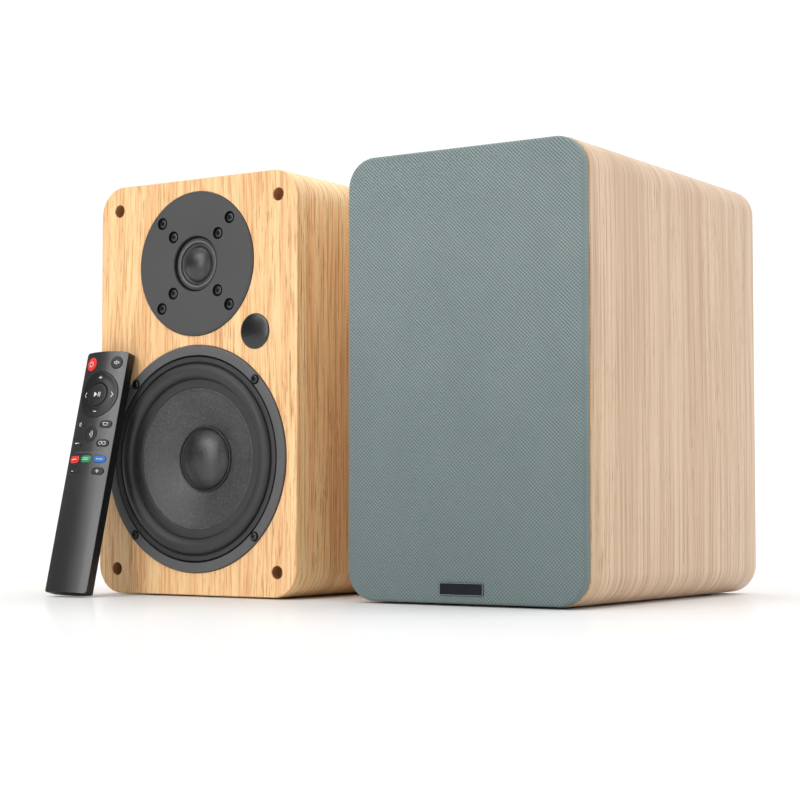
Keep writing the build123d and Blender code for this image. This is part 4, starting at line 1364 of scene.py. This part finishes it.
def remote_body():
    """Outer skin of both case halves as one closed bar."""
    edge, end_r = 0.55, 2.5
    face_x = [s * (REMOTE_HALF - edge) for s in np.linspace(-1, 1, 41)]
    front = [(x, -crown(x)) for x in face_x]
    back = [(x, REMOTE_SIDE + crown(x)) for x in face_x[::-1]]
    turn = rounded([front[-1], (REMOTE_HALF, 0.0, 0.5), (REMOTE_HALF, 2.0)], 4)
    mirrored = [(-x, y) for x, y in reversed(turn)]
    section = front + turn[1:] + [(REMOTE_HALF, REMOTE_SIDE - 0.4)] + back
    section += [(-REMOTE_HALF, REMOTE_SIDE - 0.4)] + mirrored[:-1]
    # stations along the case: (z, inset of the sides, scale of the thickness)
    end = [(0.0, end_r, 0.985)]
    end += [(end_r * (1 - math.cos(t)), end_r * (1 - math.sin(t)), 1.0)
            for t in np.linspace(0.12, PI / 2, 7)]
    stations = end + [(z, 0.0, 1.0) for z in np.linspace(8, REMOTE_L - 8, 40)]
    stations += [(REMOTE_L - z, inset, scale) for z, inset, scale in reversed(end)]
    verts = []
    middle = REMOTE_SIDE / 2
    for z, inset, scale in stations:
        limit = REMOTE_HALF - inset
        verts += [(max(-limit, min(limit, x)), middle + (y - middle) * scale, z)
                  for x, y in section]
    count, last = len(section), len(verts) - len(section)
    faces = []
    for a in range(0, last, count):
        for k in range(count):
            k2 = (k + 1) % count
            faces.append((a + k, a + k2, a + count + k2, a + count + k))
    faces += [tuple(range(count))[::-1], tuple(range(last, last + count))]
    return verts, faces


def remote_bay():
    """The space inside the case: the case's own section, a wall's thickness in."""
    wall, side_wall, least = 1.4, 1.5, 0.85
    across = np.linspace(-(REMOTE_HALF - side_wall), REMOTE_HALF - side_wall, 25)
    section = [(x, min(wall - crown(x), least)) for x in across]
    section += [(x, max(REMOTE_SIDE + crown(x) - wall, REMOTE_SIDE - least)) for x in across[::-1]]
    verts = [(x, y, z) for z in (wall + 0.1, REMOTE_L - wall - 0.1) for x, y in section]
    return verts, prism_sides(len(section)) + [tuple(range(len(section)))[::-1],
                                               tuple(range(len(section), len(verts)))]


def prism_sides(count):
    return [(k, (k + 1) % count, count + (k + 1) % count, count + k) for k in range(count)]


# key outlines: (half the straight length, end radius); a round key has no straight
PILL = ((9.8 - 5.1) / 2, 5.1 / 2)
RING_R, RING_HOLE = 16.7, 8.4
# name: (x, distance from the end with the power key, outline, material)
KEYS = {
    "power_button": (-11.6, 8.8, (0, 5.0), "key_red"),
    "mute_button": (11.6, 8.4, (0, 4.5), "key_rubber"),
    "navigation_ring": (0, RING_DOWN, (0, RING_R), "key_ring_plastic"),
    "play_button": (0, RING_DOWN, (0, 8.0), "key_rubber"),
    "optical_button": (-11.6, 53.4, PILL, "key_rubber"),
    "arc_button": (11.6, 53.4, PILL, "key_rubber"),
    "wireless_button": (0, 60.7, (0, 5.6), "key_rubber"),
    "aux_button": (-11.6, 67.1, PILL, "key_rubber"),
    "line_button": (11.6, 67.1, PILL, "key_rubber"),
    "red_button": (-11.6, 78.7, PILL, "key_red"),
    "green_button": (0, 78.7, PILL, "key_green"),
    "blue_button": (11.6, 78.7, PILL, "key_blue"),
    "left_option_button": (-11.6, 87.3, PILL, "key_rubber"),
    "right_option_button": (11.6, 87.3, PILL, "key_rubber"),
}
KEY_POINTS = 64


def key_outline(straight, end_r, grow=0.0):
    radius = end_r + grow
    if not straight:
        return circle(0, 0, radius, KEY_POINTS)
    points = []
    half = KEY_POINTS // 2
    for x, start in ((straight, -90), (-straight, 90)):
        for k in range(half):
            turn = math.radians(start + 180 * k / (half - 1))
            points.append((x + radius * math.cos(turn), radius * math.sin(turn)))
    return points


def key_openings():
    """One cutter for every key hole; the play key stands inside the ring's."""
    piece = Piece()
    for name, (x, down, size, _) in KEYS.items():
        if name == "play_button":
            continue
        points = key_outline(*size, grow=0.3 if name == "navigation_ring" else 0.15)
        count = len(points)
        verts = [(x + px, y, REMOTE_L - down + pz) for y in (-6.0, 3.0) for px, pz in points]
        faces = [tuple(range(count)), tuple(range(2 * count - 1, count - 1, -1))]
        faces += [face[:1] + face[:0:-1] for face in prism_sides(count)]
        piece.add((verts, faces))
    return piece.shape()


def remote_case():
    """Two shells that meet at the seam, hollow, with key holes and the battery door's opening."""
    upper = solid("remote_upper_shell", remote_body(), remote_place)
    carve(upper, remote_place, key_openings())
    lower = solid("remote_lower_shell", remote_body(), remote_place)
    carve(upper, remote_place, box(-30, 30, SEAM, 30, -5, REMOTE_L + 5))
    carve(upper, remote_place, remote_bay())
    carve(lower, remote_place, remote_bay())
    carve(lower, remote_place, box(-30, 30, -30, SEAM + 0.12, -5, REMOTE_L + 5))
    carve(lower, remote_place, box(-15, 15, 8.0, 30, 13.0, 61.0))
    dress(upper, ["remote_face", "remote_side"], "remote", ["remote_front_case"], "remote_case")
    for polygon in upper.data.polygons:
        facing = float(np.array(polygon.normal) @ -REMOTE_BACK)
        polygon.material_index = 1 if facing < 0.55 else 0
    dress(lower, "remote_side", "remote", ["remote_back_case"], "remote_case")


def battery_cover():
    """A panel of the back's own curve with a ribbed thumb catch."""
    columns, rows = 24, np.linspace(13.25, 60.7, 25)
    across = [-14.75 + 29.5 * k / columns for k in range(columns + 1)]
    verts = []
    for z in rows:
        for x in across:
            ribs = 0.0
            if 50 < z < 57.2 and abs(x) < 6:
                ribs = 0.22 * (0.5 - 0.5 * math.cos((z - 50) * PI / 1.2))
            verts.append((x, REMOTE_SIDE + crown(x) - 0.02 - ribs, z))
    under = len(verts)
    verts += [(x, REMOTE_SIDE + crown(x) - 1.4, z) for z in rows for x in across]
    width, last = columns + 1, len(rows) - 1
    faces = []
    for i in range(last):
        for a in range(i * width, i * width + columns):
            b = under + a
            faces += [(a, a + 1, a + width + 1, a + width), (b, b + width, b + width + 1, b + 1)]
    for i in range(last):
        for a in (i * width, i * width + columns):
            faces.append((a, a + width, under + a + width, under + a))
    for k in range(columns):
        for a in (k, last * width + k):
            faces.append((a, under + a, under + a + 1, a + 1))
    Piece((verts, faces)).make("battery_cover", "remote_side", remote_place, "battery_door",
                               ["remote_battery_door"], "remote_case", 30)


# ------------------------------------------------------------------ remote: keys
def key_mesh(x, z, straight, end_r, proud, dish, hole=None):
    """A key whose top follows the crowned face, proud of it, with a soft edge.

    dish hollows its middle; hole is the radius of a ring's opening."""
    # steps inwards: (inset from the outline, depth under the top, or None for the base)
    steps = [(0, None), (0, 0.45), (0.1, 0.2), (0.28, 0.06), (0.55, 0.0)]
    if hole is None:
        steps += [(end_r * f, dish * math.sin(PI / 2 * f)) for f in (0.3, 0.5, 0.7, 0.88)]
    else:
        width = end_r - hole
        steps += [(width * f, dish * math.sin(PI * f)) for f in (0.25, 0.5, 0.75)]
        steps += [(width - 0.5, 0.0), (width - 0.2, 0.1), (width, 0.4), (width, None)]
    verts = []
    for inset, depth in steps:
        scale = max(end_r - inset, 0.02) / end_r
        for px, pz in key_outline(straight, end_r):
            middle = max(-straight, min(straight, px))
            vert_x = x + (middle + (px - middle) * scale)
            y = 2.1 if depth is None else -(crown(vert_x) + proud) + depth
            verts.append((vert_x, y, z + pz * scale))
    starts = list(range(0, len(verts), KEY_POINTS))
    faces = []
    for a, b in zip(starts, starts[1:] if hole is None else starts[1:] + starts[:1]):
        for k in range(KEY_POINTS):
            k2 = (k + 1) % KEY_POINTS
            faces.append((a + k, a + k2, b + k2, b + k))
    if hole is None:
        faces += [tuple(range(starts[-1], len(verts))), tuple(range(KEY_POINTS))[::-1]]
    return verts, faces


def stroke(points, width, x, z, proud):
    """A printed line over the crowned face through (x, z) points relative to the middle."""
    points = [np.array(point, float) for point in points]
    path = []
    for a, b in zip(points[:-1], points[1:]):
        steps = max(1, int(np.linalg.norm(b - a) / 0.5))
        path += [a + (b - a) * k / steps for k in range(steps)]
    path.append(points[-1])
    verts = []
    for i, point in enumerate(path):
        along = path[min(i + 1, len(path) - 1)] - path[max(i - 1, 0)]
        along = along / np.linalg.norm(along)
        aside = np.array([-along[1], along[0]]) * width / 2
        for edge in (point + aside, point - aside):
            top = -(crown(x + edge[0]) + proud)
            verts += [(x + edge[0], top - 0.03, z + edge[1]), (x + edge[0], top + 0.02, z + edge[1])]
    faces = []
    last = len(verts) - 4
    for a in range(0, last, 4):
        b = a + 4
        faces += [(a, b, b + 2, a + 2), (a + 1, a + 3, b + 3, b + 1), (a, a + 1, b + 1, b),
                  (a + 2, b + 2, b + 3, a + 3)]
    faces += [(0, 2, 3, 1), (last, last + 1, last + 3, last + 2)]
    return verts, faces


def arc(radius, start, end, steps=20, x=0.0):
    turns = [math.radians(start + (end - start) * k / steps) for k in range(steps + 1)]
    return [(x + radius * math.cos(turn), radius * math.sin(turn)) for turn in turns]


# symbol on each key: strokes of ([(x, z), ...], width)
GLYPHS = {
    "power_button": [(arc(1.9, 60, -240), 0.5), ([(0, 0.4), (0, 2.6)], 0.5)],
    "mute_button": [
        ([(-1.6, -0.5), (-1.6, 0.5), (-0.7, 0.5), (0.4, 1.4), (0.4, -1.4), (-0.7, -0.5),
          (-1.6, -0.5)], 0.34),
        ([(1.1, -0.7), (2.3, 0.7)], 0.34), ([(1.1, 0.7), (2.3, -0.7)], 0.34),
    ],
    # a triangle hatched with upright strokes, then two bars
    "play_button": [([(-2.9 + 0.31 * k, -1.75 + 0.19 * k), (-2.9 + 0.31 * k, 1.75 - 0.19 * k)], 0.33)
                    for k in range(9)]
    + [([(0.9, -1.7), (0.9, 1.7)], 0.62), ([(2.3, -1.7), (2.3, 1.7)], 0.62)],
    "navigation_ring": [
        ([(-11.4, 1.9), (-13.0, 0), (-11.4, -1.9)], 0.5),
        ([(11.4, 1.9), (13.0, 0), (11.4, -1.9)], 0.5),
        ([(-1.5, 12.4), (1.5, 12.4)], 0.5), ([(0, 10.9), (0, 13.9)], 0.5),
        ([(-1.5, -12.4), (1.5, -12.4)], 0.5),
    ],
    "optical_button": [(arc(1.2, 0, 360), 0.34), ([(-0.2, 0), (0.2, 0)], 0.5)],
    "arc_button": [([(-2.0, 1.0), (2.0, 1.0), (1.3, -0.9), (-1.3, -0.9), (-2.0, 1.0)], 0.34)],
    "wireless_button": [(arc(radius, -50, 50, 10, -1.2), 0.36) for radius in (0.9, 2.1, 3.3)],
    "aux_button": [([(-2.2, 0), (-0.4, 0)], 0.8), ([(-0.4, 0), (2.2, 0)], 0.38)],
    "line_button": [(arc(1.2, 0, 360, 20, x), 0.32) for x in (-1.4, 1.4)],
    "red_button": [([(-2.4, 0), (2.4, 0)], 0.55)],
    "green_button": [([(-2.4, z), (2.4, z)], 0.4) for z in (0.55, -0.55)],
    "blue_button": [([(x0, 0), (x1, 0)], 0.55) for x0, x1 in ((-2.4, -1.0), (-0.6, 0.6), (1.0, 2.4))],
    "left_option_button": [([(-1.3, 0), (1.3, 0)], 0.42)],
    "right_option_button": [([(-1.3, 0), (1.3, 0)], 0.42), ([(0, -1.3), (0, 1.3)], 0.42)],
}


def remote_key(name):
    x, down, size, material = KEYS[name]
    z = REMOTE_L - down
    if name == "navigation_ring":
        proud, dish, hole = 0.30, 0.35, RING_HOLE
        print_depth = dish * math.sin(PI * (RING_R - 12.2) / (RING_R - RING_HOLE))
    else:
        proud, hole = 0.42, None
        dish = print_depth = 0.15 if name in ("play_button", "wireless_button") else -0.12
    piece = Piece(key_mesh(x, z, *size, proud, dish, hole))
    for points, width in GLYPHS[name]:
        piece.add(stroke(points, width, x, z, proud - print_depth + 0.02), 1)
    slot = material if material in ("key_red", "key_green", "key_blue") else "key_black"
    piece.make("remote_key_" + name, [material, "white_ink"], remote_place, name,
               ["remote_" + name], slot, 34)


remote_case()
battery_cover()
for name in KEYS:
    remote_key(name)
# printed line across the face below the keys' upper groups
Piece(stroke([(-13.0, 0), (13.0, 0)], 0.22, 0, REMOTE_L - 73.8, 0.0)).make(
    "remote_divider", "grey_ink", remote_place, "remote", slot="remote_case")

# ------------------------------------------------------------------ CAD pieces kept as they are
KEPT = {
    "left_woofer_motor": "motor_steel", "right_woofer_motor": "motor_steel",
    "left_tweeter_motor": "ferrite", "right_tweeter_motor": "ferrite",
    "left_amplifier_board": "solder_mask", "right_crossover_board": "solder_mask",
    "remote_circuit_board": "solder_mask", "remote_batteries": "cell_wrap",
}
for node, material in KEPT.items():
    slots = frame["nodes"][node].data.materials
    slots.clear()
    slots.append(MATERIALS[material])

# ------------------------------------------------------------------ floor, world, lights, camera
scene = bpy.context.scene
scene.view_settings.view_transform = "Standard"
scene.view_settings.look = "None"
BACKDROP_STRENGTH = 1.05


def floor_material():
    """Pale floor, mostly diffuse with a faint soft mirror, running out into a white glow."""
    mat = Material("floor_white")
    soft = mat.noise(mat.point, scale=3.0)
    diffuse = mat.new("ShaderNodeBsdfDiffuse")
    mat.put(diffuse.inputs[0], mat.mix(mat.span(soft), (0.80, 0.80, 0.80, 1), (0.82, 0.82, 0.82, 1)))
    gloss = mat.new("ShaderNodeBsdfGlossy")
    mat.put(gloss.inputs[0], (1, 1, 1, 1))
    mat.put(gloss.inputs[1], mat.span(soft, target=(0.15, 0.19)))
    surface = mat.new("ShaderNodeMixShader")
    gloss_share = 0.17
    mat.put(surface.inputs[0], gloss_share)
    mat.put(surface.inputs[1], diffuse.outputs[0])
    mat.put(surface.inputs[2], gloss.outputs[0])
    x, y, _ = mat.split(mat.point)
    distance = mat.math("SQRT", mat.add(mat.mul(x, x), mat.mul(y, y)))
    glow = mat.new("ShaderNodeEmission")
    glow.inputs[1].default_value = BACKDROP_STRENGTH
    whole = mat.new("ShaderNodeMixShader")
    mat.put(whole.inputs[0], mat.smooth(distance, (0.42, 1.0)))
    mat.put(whole.inputs[1], surface.outputs[0])
    mat.put(whole.inputs[2], glow.outputs[0])
    mat.put(mat.output.inputs[0], whole.outputs[0])
    return mat.material


def build_floor():
    half = 9.0  # metres
    verts = [(-half, -half, 0), (half, -half, 0), (half, half, 0), (-half, half, 0)]
    floor = new_object("floor", verts, [(0, 1, 2, 3)], lambda points: points)
    floor.data.materials.append(floor_material())


def build_world():
    """The camera sees white; the room lights from behind and overhead, less from the front."""
    world = bpy.data.worlds.new("studio")
    scene.world = world
    world.use_nodes = True
    nodes, link = world.node_tree.nodes, world.node_tree.links.new
    room = nodes["Background"]
    seen = nodes.new("ShaderNodeBackground")
    seen.inputs[1].default_value = BACKDROP_STRENGTH
    for background in (room, seen):
        background.inputs[0].default_value = (1, 1, 1, 1)
    direction = nodes.new("ShaderNodeSeparateXYZ")
    link(nodes.new("ShaderNodeTexCoord").outputs["Generated"], direction.inputs[0])
    brighter = nodes.new("ShaderNodeMath")
    brighter.operation = "MAXIMUM"
    # (axis, start and end of the rise along it, strength at each)
    for k, (axis, *limits) in enumerate(((1, -0.15, 0.65, 0.10, 1.0), (2, 0.25, 0.85, 0.0, 0.8))):
        rise = nodes.new("ShaderNodeMapRange")
        rise.interpolation_type = "SMOOTHSTEP"
        link(direction.outputs[axis], rise.inputs["Value"])
        for key, limit in zip(("From Min", "From Max", "To Min", "To Max"), limits):
            rise.inputs[key].default_value = limit
        link(rise.outputs[0], brighter.inputs[k])
    link(brighter.outputs[0], room.inputs[1])
    path = nodes.new("ShaderNodeLightPath")
    blend = nodes.new("ShaderNodeMixShader")
    link(path.outputs["Is Camera Ray"], blend.inputs[0])
    link(room.outputs[0], blend.inputs[1])
    link(seen.outputs[0], blend.inputs[2])
    link(blend.outputs[0], nodes["World Output"].inputs[0])


def stand(name, data, location, direction):
    """Links a light or camera that looks along a direction."""
    obj = bpy.data.objects.new(name, data)
    scene.collection.objects.link(obj)
    obj.location = location
    obj.rotation_mode = "QUATERNION"
    obj.rotation_quaternion = direction.to_track_quat("-Z", "Y")
    return obj


# name: (location, target, width, height, all in metres, watts)
LIGHTS = {
    "key_front": ((-0.28, -2.35, 1.05), (-0.05, -0.1, 0.15), 1.0, 2.1, 22.5),
    "high_left": ((-1.15, -2.15, 1.55), (-0.15, -0.15, 0.12), 1.0, 1.0, 8.5),
    "fill_right": ((1.4, -1.9, 0.55), (-0.05, -0.1, 0.12), 1.1, 1.1, 5),
    "side_right": ((1.9, 0.9, 0.9), (0.2, 0.0, 0.15), 1.4, 1.4, 10),
    "top": ((0.0, 0.2, 2.2), (0.0, 0.0, 0.0), 2.4, 2.4, 33),
}


def build_lights():
    for name, (location, target, width, height, watts) in LIGHTS.items():
        light = bpy.data.lights.new(name, "AREA")
        light.shape = "RECTANGLE"
        light.size = width
        light.size_y = height
        light.energy = watts
        stand(name, light, location, Vector(target) - Vector(location))


def build_camera():
    camera = bpy.data.cameras.new("camera")
    camera.lens = 86.1
    camera.sensor_width = 36.0
    camera.clip_start, camera.clip_end = 0.05, 60
    yaw, pitch = math.radians(33.47), math.radians(3.045)
    forward = Vector((-math.sin(yaw) * math.cos(pitch), math.cos(yaw) * math.cos(pitch),
                      math.sin(pitch)))
    scene.camera = stand("camera", camera, (0.73995, -1.13098, 0.0653), forward)


build_floor()
build_world()
build_lights()
build_camera()
